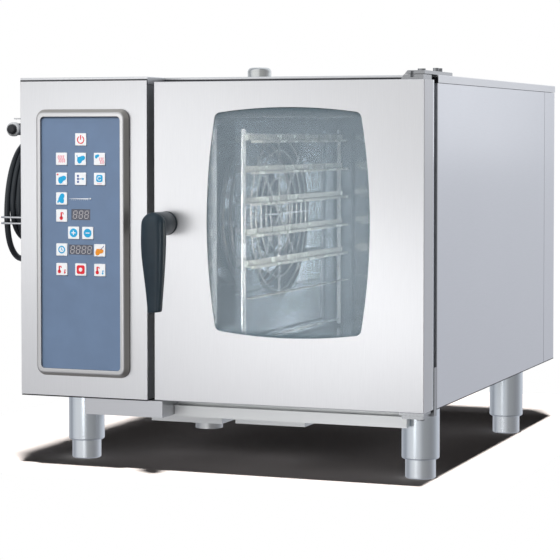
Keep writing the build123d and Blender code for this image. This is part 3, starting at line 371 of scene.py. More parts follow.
MATERIALS = {
    "front_steel": brushed("front_steel", (0.80, 0.805, 0.815), 0.37, "z", Anisotropic=0.75),
    "side_steel": brushed("side_steel", (0.72, 0.735, 0.765), 0.30, "y"),
    "lid_steel": brushed("lid_steel", (0.74, 0.75, 0.765), 0.36, "x"),
    # the same as front_steel, but the column's side gets painted shade further down
    "column_steel": brushed("column_steel", (0.80, 0.805, 0.815), 0.37, "z", Anisotropic=0.75),
    "bezel_steel": brushed("bezel_steel", (0.62, 0.62, 0.62), 0.30, "z", depth=0.01),
    "leg_steel": brushed("leg_steel", (0.88, 0.94, 0.98), 0.24, "z"),
    "foot_steel": brushed("foot_steel", (0.90, 0.95, 0.98), 0.28, "x"),
    "vent_steel": brushed("vent_steel", (0.66, 0.68, 0.67), 0.12, "z"),
    "hinge_steel": brushed("hinge_steel", (0.38, 0.39, 0.40), 0.26, "y"),
    "liner_steel": cast("liner_steel", (0.50, 0.54, 0.58), 1.0, 0.16, 22.0, 0.12, spread=0.02),
    "tunnel_steel": cast("tunnel_steel", (0.72, 0.75, 0.78), 0.75, 0.10, 12.0, 0.2, spread=0.01),
    "guard_steel": cast("guard_steel", (0.78, 0.78, 0.77), 1.0, 0.18, 30.0, 0.1),
    "rack_steel": cast("rack_steel", (0.90, 0.87, 0.79), 0.45, 0.26, 500.0, 0.1, contrast=0.15),
    "post_steel": cast("post_steel", (0.86, 0.88, 0.90), 0.4, 0.24, 500.0, 0.05),
    "pan_steel": cast("pan_steel", (0.74, 0.76, 0.76), 0.8, 0.38, 160.0, 0.1),
    # the bottom pan is painted near black as shade, so it sends hardly any light into the oven's shadow on
    # the floor
    "under_steel": cast("under_steel", (0.035, 0.035, 0.037), 0.3, 0.6, 160.0, 0.3),
    "heater_steel": cast("heater_steel", (0.30, 0.27, 0.25), 1.0, 0.38, 300.0, 0.3, contrast=0.25),
    "motor_casting": cast("motor_casting", (0.40, 0.41, 0.43), 1.0, 0.5, 420.0, 0.6),
    "plated_fitting": cast("plated_fitting", (0.66, 0.66, 0.67), 1.0, 0.22, 350.0, 0.15),
    "bracket_steel": cast("bracket_steel", (0.70, 0.71, 0.72), 1.0, 0.25, 420.0, 0.15),
    "keypad_blue": cast("keypad_blue", (0.140, 0.205, 0.320), 0.0, 0.42, 900.0, 0.12, contrast=0.05),
    "key_white": cast("key_white", (0.88, 0.89, 0.91), 0.0, 0.38, 900.0, 0.1, contrast=0.02),
    "display_smoke": cast("display_smoke", (0.085, 0.088, 0.115), 0.0, 0.25, 300.0, 0.02),
    "lever_black": cast("lever_black", (0.010, 0.019, 0.027), 0.0, 0.34, 2500.0, 0.08, contrast=0.08,
                        Specular_IOR_Level=0.35),
    "hose_black": cast("hose_black", (0.010, 0.013, 0.016), 0.0, 0.33, 700.0, 0.2, contrast=0.25),
    "handset_black": cast("handset_black", (0.012, 0.013, 0.015), 0.0, 0.4, 1200.0, 0.4, contrast=0.2),
    "trigger_grey": cast("trigger_grey", (0.42, 0.43, 0.44), 0.0, 0.4, 1000.0, 0.3),
    "gasket_black": cast("gasket_black", (0.060, 0.062, 0.066), 0.0, 0.6, 600.0, 0.4, contrast=0.2),
    "board_green": cast("board_green", (0.03, 0.13, 0.06), 0.0, 0.45, 400.0, 0.3),
    "filter_steel": brushed("filter_steel", (0.66, 0.67, 0.69), 0.34, "x"),
    "wool": cast("wool", (0.70, 0.62, 0.40), 0.0, 0.95, 240.0, 1.0, contrast=0.15),
    "segment_edge": cast("segment_edge", (0.44, 0.43, 0.45), 0.0, 0.35, 900.0, 0.05, contrast=0.04),
}

INK_COLORS = {
    "red_ink": (0.72, 0.015, 0.03),
    "pink_ink": (0.82, 0.36, 0.42),
    "blue_ink": (0.01, 0.37, 0.68),
    "navy_ink": (0.03, 0.08, 0.28),
    "orange_ink": (0.80, 0.28, 0.02),
    "white_ink": (0.85, 0.86, 0.87),
}
for ink_name, ink_color in INK_COLORS.items():
    MATERIALS[ink_name] = cast(ink_name, ink_color, 0.0, 0.40, 900.0, 0.1, contrast=0.04)


def window_glass(name, color, veil):
    """A tinted pane: mostly clear, with a pale veil that the studio lights."""
    return cast(name, color, 0.0, 0.04, 40.0, 0.02, spread=0.01, contrast=0.04, IOR=1.5, Alpha=veil)


# how opaque the outer pane is inside its printed border, and in it
OUTER_VEIL, BORDER_VEIL = 0.42, 0.70
MATERIALS["outer_pane"] = window_glass("outer_pane", (0.26, 0.32, 0.365), OUTER_VEIL)
MATERIALS["inner_pane"] = window_glass("inner_pane", (0.40, 0.44, 0.46), 0.10)

NODE_MATERIALS = {
    "front_steel": ("door_shell", "front_frame"),
    "column_steel": ("control_front",),
    "side_steel": ("right_side_panel", "left_side_panel", "rear_panel"),
    "lid_steel": ("top_cover",),
    "bezel_steel": ("panel_bezel",),
    "leg_steel": ("leg_tubes",),
    "foot_steel": ("foot_front_left", "foot_front_right", "foot_rear_left", "foot_rear_right"),
    "hinge_steel": ("hinge_brackets", "hinge_pivots", "latch_hook", "latch_striker"),
    "liner_steel": ("cavity_liner", "fan_wheel"),
    "tunnel_steel": ("door_inner_liner",),
    "rack_steel": ("side_racks",),
    "guard_steel": ("fan_guard",),
    "pan_steel": ("base_frame", "drain_trap", "drip_tray"),
    "under_steel": ("bottom_pan",),
    "heater_steel": ("heating_element",),
    "motor_casting": ("fan_motor",),
    "plated_fitting": ("pipe_fittings",),
    "bracket_steel": ("hose_bracket",),
    "keypad_blue": ("keypad_plate",),
    "display_smoke": ("led_displays",),
    "gasket_black": ("door_gasket",),
    "board_green": ("control_board",),
    "filter_steel": ("air_filter",),
    "wool": ("insulation_blanket",),
    "outer_pane": ("outer_glass",),
    "inner_pane": ("inner_glass",),
    "trigger_grey": ("spray_trigger",),
}


def dress(thing, name):
    thing.data.materials.clear()
    thing.data.materials.append(MATERIALS[name])


def dress_nodes():
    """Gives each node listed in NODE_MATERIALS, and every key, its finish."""
    for material, nodes in NODE_MATERIALS.items():
        for node in nodes:
            dress(NODES[node], material)
    for node in NODES:
        if node.startswith("key_"):
            dress(NODES[node], "key_white")


# ---------------------------------------------------------------- mesh helpers
def new_piece(name, mesh_data, body, slot, *materials, smooth=False):
    mesh = bpy.data.meshes.new(name)
    mesh_data.to_mesh(mesh)
    mesh_data.free()
    for material in materials:
        mesh.materials.append(MATERIALS[material])
    piece = bpy.data.objects.new(name, mesh)
    bpy.context.scene.collection.objects.link(piece)
    if smooth:
        mesh.shade_smooth()
    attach(piece, body)
    return piece


def mm(profile):
    """Pairs of millimetres as metres."""
    return [(first * MM, second * MM) for first, second in profile]


def add_skin(mesh_data, rings, closed_ends=True, material=0):
    """Adds a skin through rings of points that all have the same count."""
    made = [[mesh_data.verts.new(point) for point in ring] for ring in rings]
    count = len(made[0])
    faces = []
    for first, second in zip(made, made[1:]):
        for i in range(count):
            j = (i + 1) % count
            faces.append(mesh_data.faces.new((first[i], first[j], second[j], second[i])))
    if closed_ends:
        faces += [mesh_data.faces.new(made[0][::-1]), mesh_data.faces.new(made[-1])]
    for face in faces:
        face.material_index = material


def loft(rings, closed_ends=True):
    """A mesh that is one skin through rings."""
    mesh_data = bmesh.new()
    add_skin(mesh_data, rings, closed_ends)
    bmesh.ops.recalc_face_normals(mesh_data, faces=mesh_data.faces)
    return mesh_data


def lathe_rings(profile, origin, axis, steps):
    """Rings round an axis: profile points are (distance along the axis, radius)."""
    axis = Vector(axis)
    side = axis.orthogonal().normalized()
    across = axis.cross(side)
    turns = [math.tau * k / steps for k in range(steps)]
    return [
        [Vector(origin) + axis * along + side * radius * math.cos(turn) + across * radius * math.sin(turn)
         for turn in turns]
        for along, radius in profile
    ]


def turned(profile, origin, axis, steps=48):
    """A solid lathe piece."""
    return loft(lathe_rings(profile, origin, axis, steps))


# ---------------------------------------------------------------- key symbols and display digits
# how thick a layer of ink is, and how much larger the symbols are printed than they are drawn here
INK_T = 0.25 * MM
SYMBOL_SIZE = 1.24


def circle(x, z, radius, start=0.0, turn=360.0, steps=28):
    count = steps if turn < 360.0 else steps - 1
    return [
        (x + radius * math.cos(math.radians(start + turn * k / steps)),
         z + radius * math.sin(math.radians(start + turn * k / steps)))
        for k in range(count + 1)
    ]


def slab(mesh_data, outline, place, material, size=1.0):
    """A thin raised shape: an outline in millimetres round a place on a surface that faces the front."""
    unit = MM * size
    front = [mesh_data.verts.new(place + Vector((x * unit, -INK_T, z * unit))) for x, z in outline]
    back = [mesh_data.verts.new(place + Vector((x * unit, 0.0, z * unit))) for x, z in outline]
    faces = [mesh_data.faces.new(front), mesh_data.faces.new(list(reversed(back)))]
    for i in range(len(outline)):
        j = (i + 1) % len(outline)
        faces.append(mesh_data.faces.new((front[i], back[i], back[j], front[j])))
    for face in faces:
        face.material_index = material


def stroke(points, width):
    """The outline of a line of constant width through the points."""
    left, right = [], []
    for i, (x, z) in enumerate(points):
        x0, z0 = points[max(i - 1, 0)]
        x1, z1 = points[min(i + 1, len(points) - 1)]
        length = math.hypot(x1 - x0, z1 - z0)
        across = (-(z1 - z0) / length * width / 2, (x1 - x0) / length * width / 2)
        left.append((x + across[0], z + across[1]))
        right.append((x - across[0], z - across[1]))
    return left + right[::-1]


def wave(x, z_low, z_high, swing, steps=14):
    return [
        (x + swing * math.sin(math.tau * k / steps), z_low + (z_high - z_low) * k / steps)
        for k in range(steps + 1)
    ]


def puff(x, z, size, lean=35.0, steps=30):
    """A steam cloud: a leaf-like blob with two bulges, leaning to one side."""
    points = []
    for k in range(steps):
        angle = math.tau * k / steps
        radius = size * (0.74 + 0.20 * math.cos(2 * angle) + 0.10 * math.cos(3 * angle + 0.8))
        turned_angle = angle + math.radians(lean)
        points.append((x + radius * math.cos(turned_angle), z + radius * math.sin(turned_angle)))
    return points


def drop(x, z, size, steps=28):
    """A water drop with its point up."""
    points = []
    for k in range(steps):
        angle = math.tau * k / steps
        pull = max(0.0, math.sin(angle)) ** 3
        points.append((x + size * math.cos(angle) * (1 - 0.75 * pull),
                       z + size * (math.sin(angle) + 0.9 * pull)))
    return points


def box_outline(x, z, width, height, corner=0.0, steps=4):
    if corner == 0.0:
        return [(x - width / 2, z - height / 2), (x + width / 2, z - height / 2),
                (x + width / 2, z + height / 2), (x - width / 2, z + height / 2)]
    points = []
    for quarter, (sign_x, sign_z) in enumerate(((1, 1), (-1, 1), (-1, -1), (1, -1))):
        centre = (x + sign_x * (width / 2 - corner), z + sign_z * (height / 2 - corner))
        points += circle(*centre, corner, 90.0 * quarter, 90.0, steps)
    return points


def thermometer(x, z, size):
    """A bulb with a stem, and a short hook from its top."""
    return [
        circle(x, z - 0.62 * size, 0.42 * size),
        box_outline(x, z + 0.12 * size, 0.34 * size, 1.1 * size),
        stroke([(x + 0.1 * size, z + 0.62 * size), (x + 0.45 * size, z + 0.55 * size),
                (x + 0.5 * size, z + 0.2 * size)], 0.22 * size),
    ]


RED, PINK, BLUE, NAVY, ORANGE, WHITE = range(6)


def inked(ink, outlines):
    """Several outlines in one ink, on the lowest layer."""
    return [(ink, outline, 1) for outline in outlines]


def symbols():
    """For each key, the shapes drawn on it, lowest first: (ink, outline in millimetres, layer)."""
    disc = (BLUE, circle(0, 0, 7.4), 1)
    minus = (WHITE, box_outline(0, 0, 7.4, 1.7), 2)
    return {
        "key_power": inked(RED, [
            stroke(circle(0, -0.5, 6.0, 120.0, 300.0), 1.7),
            box_outline(0, 3.6, 1.8, 8.2),
        ]),
        "key_hot_air": inked(PINK, [stroke(wave(x, -6.0, 6.0, 1.3), 1.9) for x in (-5.0, -1.7, 1.7, 5.0)]),
        "key_steam": inked(BLUE, [puff(0.8, -0.5, 8.6), stroke(wave(-5.6, 1.0, 6.5, 0.8), 1.0)]),
        "key_combi": [
            (BLUE, puff(-4.6, 4.6, 4.6), 1),
            *inked(PINK, [stroke(wave(x, -8.0, 2.5, 1.0), 1.6) for x in (1.4, 4.4, 7.4)]),
        ],
        "key_low_steam": [(BLUE, puff(0.6, -1.0, 8.8), 1), (RED, circle(-7.2, 7.2, 1.5), 1)],
        "key_fan_speed": [
            *inked(NAVY, [circle(-4.5, z, 1.9) for z in (-5.0, 0.0, 5.0)]),
            (NAVY, box_outline(2.4, 0.0, 9.0, 1.2), 1),
            (BLUE, circle(4.6, 0.0, 1.7), 2),
        ],
        "key_cooldown": [
            (BLUE, box_outline(0, 1.0, 12.0, 12.0, 3.0), 1),
            (WHITE, stroke(circle(0, 1.0, 3.1, 40.0, 290.0), 1.2), 2),
            (PINK, box_outline(0, -8.0, 9.0, 0.9), 1),
        ],
        "key_humidity": inked(BLUE, [puff(0.0, 0.2, 9.0, 80.0), drop(-6.5, -5.5, 1.7)]),
        "key_temperature": inked(RED, thermometer(-0.6, 0.6, 7.6)),
        "key_plus": [disc, minus, (WHITE, box_outline(0, 0, 1.7, 7.4), 3)],
        "key_minus": [disc, minus],
        "key_timer": [
            (BLUE, circle(0, 0, 6.6), 1),
            (WHITE, circle(0, 0, 4.4), 2),
            (BLUE, stroke([(0, 3.4), (0, 0), (2.6, -1.4)], 1.3), 3),
        ],
        "key_core_probe": [
            (ORANGE, puff(-1.2, -2.2, 8.4, 20.0), 1),
            (NAVY, stroke([(2.0, 1.0), (8.0, 7.5)], 1.1), 2),
        ],
        "key_probe_low": inked(RED, thermometer(-4.6, 0.6, 7.4)) + inked(RED, thermometer(5.6, -3.2, 4.0)),
        "key_start_stop": [(RED, box_outline(0, 0, 15.0, 15.0, 3.4), 1), (WHITE, circle(0, 0, 3.4), 2)],
        "key_probe_high": inked(RED, thermometer(-4.6, 0.6, 7.4)) + inked(BLUE, thermometer(5.6, -3.2, 4.0)),
    }


def make_symbols():
    for key, shapes in symbols().items():
        low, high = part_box(key)
        mesh_data = bmesh.new()
        for ink, outline, layer in shapes:
            place = Vector(((low.x + high.x) / 2, low.y - (layer - 1) * INK_T, (low.z + high.z) / 2))
            slab(mesh_data, outline, place, ink, SYMBOL_SIZE)
        new_piece(key + "_symbol", mesh_data, key + "_body", "key_white", *INK_COLORS)


# each bar of a figure: its place across and up, in half widths and half heights, and whether it lies flat
SEGMENTS = (
    (0, 1, True), (1, 0.5, False), (1, -0.5, False), (0, -1, True), (-1, -0.5, False), (-1, 0.5, False),
    (0, 0, True),
)
DIGIT_WIDTH, DIGIT_HEIGHT = 8.0, 15.5
BAR_WIDTH = 0.19 * DIGIT_WIDTH
BAR_SHORTENED = 0.62 * BAR_WIDTH
DIGIT_LEAN = 0.14
# each display: its name, number of figures, height of their middle and pitch, in millimetres
DISPLAYS = (("upper", 3, 536.5, 13.4), ("lower", 4, 462.5, 13.2))


def digit(x):
    """A seven-segment figure, leaning forward, as outlines of its bars."""
    outlines = []
    for across, up, flat in SEGMENTS:
        middle_x, middle_z = across * DIGIT_WIDTH / 2, up * DIGIT_HEIGHT / 2
        half_x = DIGIT_WIDTH / 2 - BAR_SHORTENED if flat else BAR_WIDTH / 2
        half_z = BAR_WIDTH / 2 if flat else DIGIT_HEIGHT / 4 - BAR_SHORTENED
        bar = box_outline(middle_x, middle_z, 2 * half_x, 2 * half_z)
        outlines.append([(x + px + DIGIT_LEAN * pz, pz) for px, pz in bar])
    return outlines


def make_digits():
    """Unlit figures: pale bars on the smoked window."""
    low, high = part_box("led_displays")
    for name, count, centre_z, pitch in DISPLAYS:
        place = Vector(((low.x + high.x) / 2, low.y, centre_z * MM))
        mesh_data = bmesh.new()
        for k in range(count):
            for outline in digit((k - (count - 1) / 2) * pitch):
                slab(mesh_data, outline, place, 0)
        new_piece(name + "_digits", mesh_data, "cabinet", "display_black", "segment_edge")


# millimetres from the humidity key's right side
SCALE_FROM, SCALE_TO = 4.5, 50.0
SCALE_TICKS = [9.0 + 4.8 * k for k in range(9)]
LAMP_X = 54.0
LAMP_PROFILE = ((0.0, 1.9), (0.5, 1.9), (1.1, 1.2), (1.2, 0.2))


def make_humidity_scale():
    """The tapering line beside the humidity key, which ends at a small lamp."""
    low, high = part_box("key_humidity")
    place = Vector((high.x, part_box("keypad_plate")[0].y, (low.z + high.z) / 2))
    mesh_data = bmesh.new()
    slab(mesh_data, [(SCALE_FROM, -0.25), (SCALE_TO, -1.1), (SCALE_TO, 1.1), (SCALE_FROM, 0.25)], place, 0)
    for x in SCALE_TICKS:
        slab(mesh_data, box_outline(x, -2.6, 0.5, 1.4), place, 0)
    new_piece("humidity_scale", mesh_data, "cabinet", "keypad_blue", "white_ink")
    lamp = turned(mm(LAMP_PROFILE), place + Vector((LAMP_X * MM, 0.0, 0.0)), (0, -1, 0), 24)
    new_piece("humidity_lamp", lamp, "cabinet", "key_white", "white_ink", smooth=True)


# ---------------------------------------------------------------- lever handle
# the lever's half widths in millimetres: (share of its length from the top, left of the hub's middle, right)
LEVER_SIDES = (
    (0.0, 25.0, 24.0), (0.10, 26.6, 26.2), (0.20, 27.6, 26.6), (0.30, 28.0, 26.4), (0.40, 27.2, 25.6),
    (0.50, 25.2, 24.6), (0.60, 22.6, 23.2), (0.70, 20.0, 21.6), (0.80, 17.6, 19.6), (0.90, 15.6, 17.8),
    (1.0, 14.0, 16.4),
)


def between(table, share):
    """The table's columns at a share of the way down, on a smooth line through its evenly spaced rows."""
    place = min(share, 0.9999) * (len(table) - 1)
    row = int(place)
    part = place - row
    before, first, second, after = (
        table[min(max(row + k, 0), len(table) - 1)] for k in (-1, 0, 1, 2)
    )
    return [
        b + 0.5 * part * (c - a + part * (2 * a - 5 * b + 4 * c - d + part * (3 * (b - c) + d - a)))
        for a, b, c, d in list(zip(before, first, second, after))[1:]
    ]


# in millimetres at the head, at the toe, and the share of the length where it starts to change: half the
# lever's depth, how far its middle lies behind its front, and how much higher its sections' right side is
HALF_DEPTH = (15.5, 10.9, 0.2)
MIDDLE_DEPTH = (15.8, 17.4, 0.45)
TILT = (0.0, 1.5, 0.9)
# shares of the lever's length where its head stops growing and its toe starts to close, and the toe's reach
LEVER_HEAD, LEVER_TOE, TOE_REACH = 0.115, 0.972, 0.034
# what is left of the section where the head starts, across and in depth, and at the toe's end
HEAD_WIDTH, HEAD_DEPTH, TOE_SIZE = 0.14, 0.3, 0.72
# how square its section is, as the power of a superellipse: behind, in front
LEVER_SQUARE = (2.8, 2.15)
# the soft ridge down its front: its bearing round the section, its width and how far it stands out
RIDGE_BEARING, RIDGE_WIDTH, RIDGE_HEIGHT = math.radians(306), 0.42, 0.11
LEVER_SECTIONS, LEVER_AROUND = 60, 48
# millimetres from the lever's front to the hub's, from the hub to the door, and up from the hook's lowest
# point to the hub's middle
HUB_SETBACK, HUB_CLEARANCE, HUB_RISE = 17.0, 0.6, 8.0


def rounding(share):
    """The height of a quarter circle, from 0 at its start to 1 at its end."""
    return math.sqrt(max(0.0, 1 - (1 - share) ** 2))


def eased(at_head, at_toe, start, share):
    """Metres from millimetres that change smoothly from a share of the way down to the toe."""
    t = min(1.0, max(0.0, (share - start) / (1.0 - start)))
    return (at_head + (at_toe - at_head) * t * t * (3 - 2 * t)) * MM


def lever_ring(share, hub_x, top, face, length):
    """One level section of the lever, at a share of the way down."""
    z = top - length * share
    left, right = between(LEVER_SIDES, share)
    head = rounding(min(share, LEVER_HEAD) / LEVER_HEAD)
    toe = TOE_SIZE + (1 - TOE_SIZE) * rounding(1 - (max(share, LEVER_TOE) - LEVER_TOE) / TOE_REACH)
    shrink = max(HEAD_WIDTH, head) * toe
    depth = eased(*HALF_DEPTH, share) * max(HEAD_DEPTH, head) * toe
    centre_y = face + eased(*MIDDLE_DEPTH, share)
    tilt = eased(*TILT, share)
    ring = []
    for k in range(LEVER_AROUND):
        angle = math.tau * k / LEVER_AROUND
        across, back = math.cos(angle), math.sin(angle)
        square = LEVER_SQUARE[0] if back > 0 else LEVER_SQUARE[1]
        scale = (abs(across) ** square + abs(back) ** square) ** (-1 / square)
        half = (right if across > 0 else left) * MM * shrink
        ridge = RIDGE_HEIGHT * math.exp(-((angle - RIDGE_BEARING) / RIDGE_WIDTH) ** 2)
        ring.append((hub_x + half * across * scale * (1 + 0.4 * ridge),
                     centre_y + depth * back * scale * (1 + ridge),
                     z + tilt * across))
    return ring


def make_lever():
    """A moulded lever: a broad rounded head on a turned hub, tapering to a blunt grip with a soft ridge."""
    low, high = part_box("door_handle")
    hub_x = (low.x + high.x) / 2
    # sections crowd towards both ends, where the outline turns
    shares = [0.5 - 0.5 * math.cos(math.pi * s / LEVER_SECTIONS) for s in range(LEVER_SECTIONS + 1)]
    rings = [lever_ring(share, hub_x, high.z, low.y, high.z - low.z) for share in shares]
    lever = new_piece("lever", loft(rings), "handle", "handle_black", "lever_black", smooth=True)
    soften = lever.modifiers.new("soften", "SUBSURF")
    soften.levels = soften.render_levels = 1
    hub_front = low.y + HUB_SETBACK * MM
    hub_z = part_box("latch_hook")[0].z + HUB_RISE * MM
    reach = (FRONT - hub_front) / MM - HUB_CLEARANCE
    profile = ((0.0, 20), (2.0, 24.4), (6, 25), (reach - 9, 24.6), (reach - 7.5, 23.9), (reach - 6.5, 23.9),
               (reach - 5.5, 25), (reach - 1.0, 25), (reach, 24.2))
    hub = turned(mm(profile), (hub_x, hub_front, hub_z), (0, 1, 0), 64)
    hub = new_piece("lever_hub", hub, "handle", "handle_black", "lever_black", smooth=True)
    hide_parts("door_handle")
    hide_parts("door_handle")
    # its dark double is kept off the steel and the hub
    lever.visible_glossy = False
    # a strip beside the camera draws the ridge
    link_light(softbox(*LEVER_STRIP), (lever, hub), "INCLUDE")


# ---------------------------------------------------------------- hand shower
HOSE_D = 13.0 * MM
# the runs before and after the coil, in millimetres: from the left side, the door front and the floor
SUPPLY_ROUTE = ((-22, 243, 432), (-22, 244, 468), (-23, 244, 504), (-24, 243, 540))
LEAD_ROUTE = (
    (-63, 226, 480), (-61, 256, 522), (-58, 282, 568), (-55, 299, 614), (-52, 304, 660), (-51, 286.5, 696),
    (-50, 253, 717), (-50, 213, 717),
)
# the coil's middle behind the door front and its top above the floor, in millimetres, and its points a turn
COIL_Y = 150.0
COIL_TOP = 687.5
COIL_STEPS = 16
# for each turn: half depth, height of its lowest point, distance from the left side where it starts
COIL_TURNS = ((88.0, 466.0, 31.0), (86.0, 474.0, 45.0), (90.0, 428.5, 59.0), (90.0, 440.0, 71.5))
# the share by which a turn is wider at its bottom and narrower at its top, and how square its lower half is
COIL_SAG = 0.10
COIL_SQUARE = 2.6
# where along the coil the supply joins it and the lead leaves it, in turns
FIRST_TURN, LAST_TURN = 0.045, 2.86
FERRULE = ((-1, 8.6), (0, 9.2), (3, 9.2), (4, 8.3), (9, 8.3), (10, 8.9), (13, 8.9), (14, 7.4))


def coil_point(turn):
    """A point of the hung coil; whole numbers of turns lie at its rear side, and it climbs from there."""
    whole = int(turn)
    part = turn - whole
    here, after = COIL_TURNS[whole], COIL_TURNS[min(whole + 1, len(COIL_TURNS) - 1)]
    half_depth, low, out = (a + (b - a) * part for a, b in zip(here, after))
    # the lower half hangs as low as its own turn says
    if part > 0.5:
        low = here[1]
    half_height = (COIL_TOP - low) / 2
    angle = math.tau * part
    across, up = math.cos(angle), math.sin(angle)
    square = (abs(across) ** COIL_SQUARE + abs(up) ** COIL_SQUARE) ** (-1 / COIL_SQUARE) if up < 0.0 else 1.0
    y = COIL_Y + half_depth * across * square * (1 - COIL_SAG * up)
    z = COIL_TOP - half_height + half_height * up * square
    return local(-out, y, z)


def make_hose():
    """The hose on one smooth line: up from its elbow, round the coil and over to the handset."""
    points = [local(*place) for place in SUPPLY_ROUTE]
    turns = LAST_TURN - FIRST_TURN
    count = round(turns * COIL_STEPS)
    points += [coil_point(FIRST_TURN + turns * k / count) for k in range(count + 1)]
    points += [local(*place) for place in LEAD_ROUTE]
    curve = bpy.data.curves.new("shower_hose", "CURVE")
    curve.dimensions = "3D"
    spline = curve.splines.new("NURBS")
    spline.points.add(len(points) - 1)
    for control, place in zip(spline.points, points):
        control.co = (*place, 1.0)
    spline.order_u = 3
    spline.use_endpoint_u = True
    spline.resolution_u = 6
    curve.bevel_depth = HOSE_D / 2
    curve.bevel_resolution = 6
    curve.use_fill_caps = True
    hose = bpy.data.objects.new("shower_hose", curve)
    bpy.context.scene.collection.objects.link(hose)
    hose.data.materials.append(MATERIALS["hose_black"])
    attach(hose, "cabinet")
    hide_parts("hose_coil", "hose_lead")
    for name, place, axis in (
        ("supply_ferrule", points[0], (0, 0, 1)),
        ("handset_ferrule", points[-1], (0, 1, 0)),
    ):
        ferrule = turned(mm(FERRULE), place, axis)
        new_piece(name, ferrule, "cabinet", "fitting_brass", "plated_fitting", smooth=True)
    return hose


# the handset's parts as turned profiles: millimetres back from its nose, and radius
NOZZLE = ((0.0, 3), (0.3, 6.5), (1.6, 9.2), (4, 10.6), (11, 10.8), (12.5, 11.5))
COLLAR = ((9, 11.5), (9.5, 14.6), (11, 15.6), (18, 15.6), (19.5, 14.2))
GROOVE = ((0.0, 12.9), (1.2, 12.1), (2.4, 12.1), (3.6, 12.9))
GROOVE_STARTS = range(34, 100, 6)
GRIP = (
    (19, 12.9),
    *((start + along, radius) for start in GROOVE_STARTS for along, radius in GROOVE),
    (144, 12.9), (148, 10.4), (164.4, 9.8),
)


def make_handset():
    """The spray handset: a black domed nozzle in a grey collar, and a ribbed grip that takes the hose."""
    hose_end = local(*LEAD_ROUTE[-1])
    nose = Vector((hose_end.x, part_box("spray_gun")[0].y, hose_end.z))
    pieces = []
    for name, profile, slot, material in (
        ("handset_nozzle", NOZZLE, "gun_black", "handset_black"),
        ("handset_collar", COLLAR, "trigger_grey", "trigger_grey"),
        ("handset_grip", GRIP, "gun_black", "handset_black"),
    ):
        piece = new_piece(name, turned(mm(profile), nose, (0, 1, 0)), "cabinet", slot, material, smooth=True)
        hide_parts("spray_gun")
        pieces.append(piece)
    return pieces


# ---------------------------------------------------------------- tray racks
RACK_LEVELS = 6
RACK_PITCH = 67.0
LOWEST_RUNNER = 357.0
POST_RADIUS = 5.0
TIE_RADIUS = 3.0
TIE_INSET = 12.0
# how far the runners reach past the posts' middles
RACK_OVERRUN = 8.0
# the folded section of a runner: millimetres out from the post's face, and above the runner's underside
RUNNER = (
    (0, 13), (1.2, 13), (1.2, 3), (2.4, 1.6), (15, 1.6), (16, 1.0), (16, -4), (14.8, -4), (14.8, 0), (0, 0),
)
# the lowest one is a plain ledge
LOW_RUNNER = ((0, 1.6), (16, 1.6), (16, 0), (0, 0))
# which of the racks' two materials a skin takes
FOLDED, ROUND = 0, 1


def add_rod(mesh_data, place, axis, radius, length, steps=16):
    """Adds a rod with softly rounded ends; all in metres."""
    end = [(0.0, 0.5 * radius), (0.35 * radius, 0.9 * radius), (radius, radius)]
    profile = end + [(length - along, width) for along, width in reversed(end)]
    add_skin(mesh_data, lathe_rings(profile, place, axis, steps), material=ROUND)


def make_racks():
    """Both tray racks: four posts with tie bars, and six runners on each side."""
    low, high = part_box("side_racks")
    near, far = low.y + RACK_OVERRUN * MM, high.y - RACK_OVERRUN * MM
    post_radius, tie_inset = POST_RADIUS * MM, TIE_INSET * MM
    mesh_data = bmesh.new()
    for post_x, inward in ((low.x + post_radius, 1), (high.x - post_radius, -1)):
        for post_y in (near, far):
            add_rod(mesh_data, (post_x, post_y, low.z), (0, 0, 1), post_radius, high.z - low.z)
        for tie_z in (low.z + tie_inset, high.z - tie_inset):
            add_rod(mesh_data, (post_x, near, tie_z), (0, 1, 0), TIE_RADIUS * MM, far - near)
        face = post_x + inward * post_radius
        for level in range(RACK_LEVELS):
            z = (LOWEST_RUNNER + RACK_PITCH * level) * MM
            section = [(face + inward * out, z + up) for out, up in mm(RUNNER if level else LOW_RUNNER)]
            ends = [[(x, y, height) for x, height in section] for y in (low.y, high.y)]
            add_skin(mesh_data, ends, material=FOLDED)
    bmesh.ops.recalc_face_normals(mesh_data, faces=mesh_data.faces)
    materials = ("rack_steel", "post_steel")
    racks = new_piece("tray_racks", mesh_data, "cabinet", "rack_steel", *materials, smooth=True)
    racks.data.set_sharp_from_angle(angle=math.radians(35))
    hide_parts("side_racks")


# ---------------------------------------------------------------- tones that change along a node: painted shade, a printed border and the guard's panel
# the height above the lid's top, negative, over which the painted shade on its front edges goes from dark to
# plain, in millimetres
LID_EDGE = (-5.5, -3.5)
# a place this near an edge's face is on it, in millimetres
ON_FACE = 0.8
# millimetres in front of the door's face: the bezel's slope starts, the slope's painted shade is full, the
# foot's painted shadow starts
BEZEL_RIM, BEZEL_SLOPE, BEZEL_FOOT = 16.6, 14.2, 5.0
# millimetres over which the painted shadow on the bezel's foot comes in
FOOT_SHADOW_EDGE = 0.6
# millimetres in from the column's right side: plain steel ends, the strip of painted shade is full
COLUMN_EDGE = (0.9, 0.3)
# a place's closeness to the outer pane's edge is its shares of the half width and half height, each raised to
# this power, added up; the border's tone starts at the first and is full at the second
BORDER_POWER = 9.0
BORDER_SPAN = (0.30, 0.62)
# how far the guard's wires reach from the fan's axis, in millimetres, and how metallic they are
GUARD_REACH = 187.0
GUARD_WIRE_METAL = 0.7

# painted shade in the gap under the lid's front edges
LID_GAP_SHADE_TONE = (0.05, 0.05, 0.055)
# painted shade on the bezel's slopes, and painted shadow on its foot
SLOPE_SHADE_TONE = (0.40, 0.385, 0.36)
FOOT_SHADOW_TONE = (0.02, 0.02, 0.022)
# painted shade on the column's side, in the gap beside the door
COLUMN_SIDE_SHADE_TONE = (0.60, 0.62, 0.63)
BORDER_TONE = (0.105, 0.160, 0.190)
GUARD_PANEL_TONE = (0.50, 0.54, 0.58)


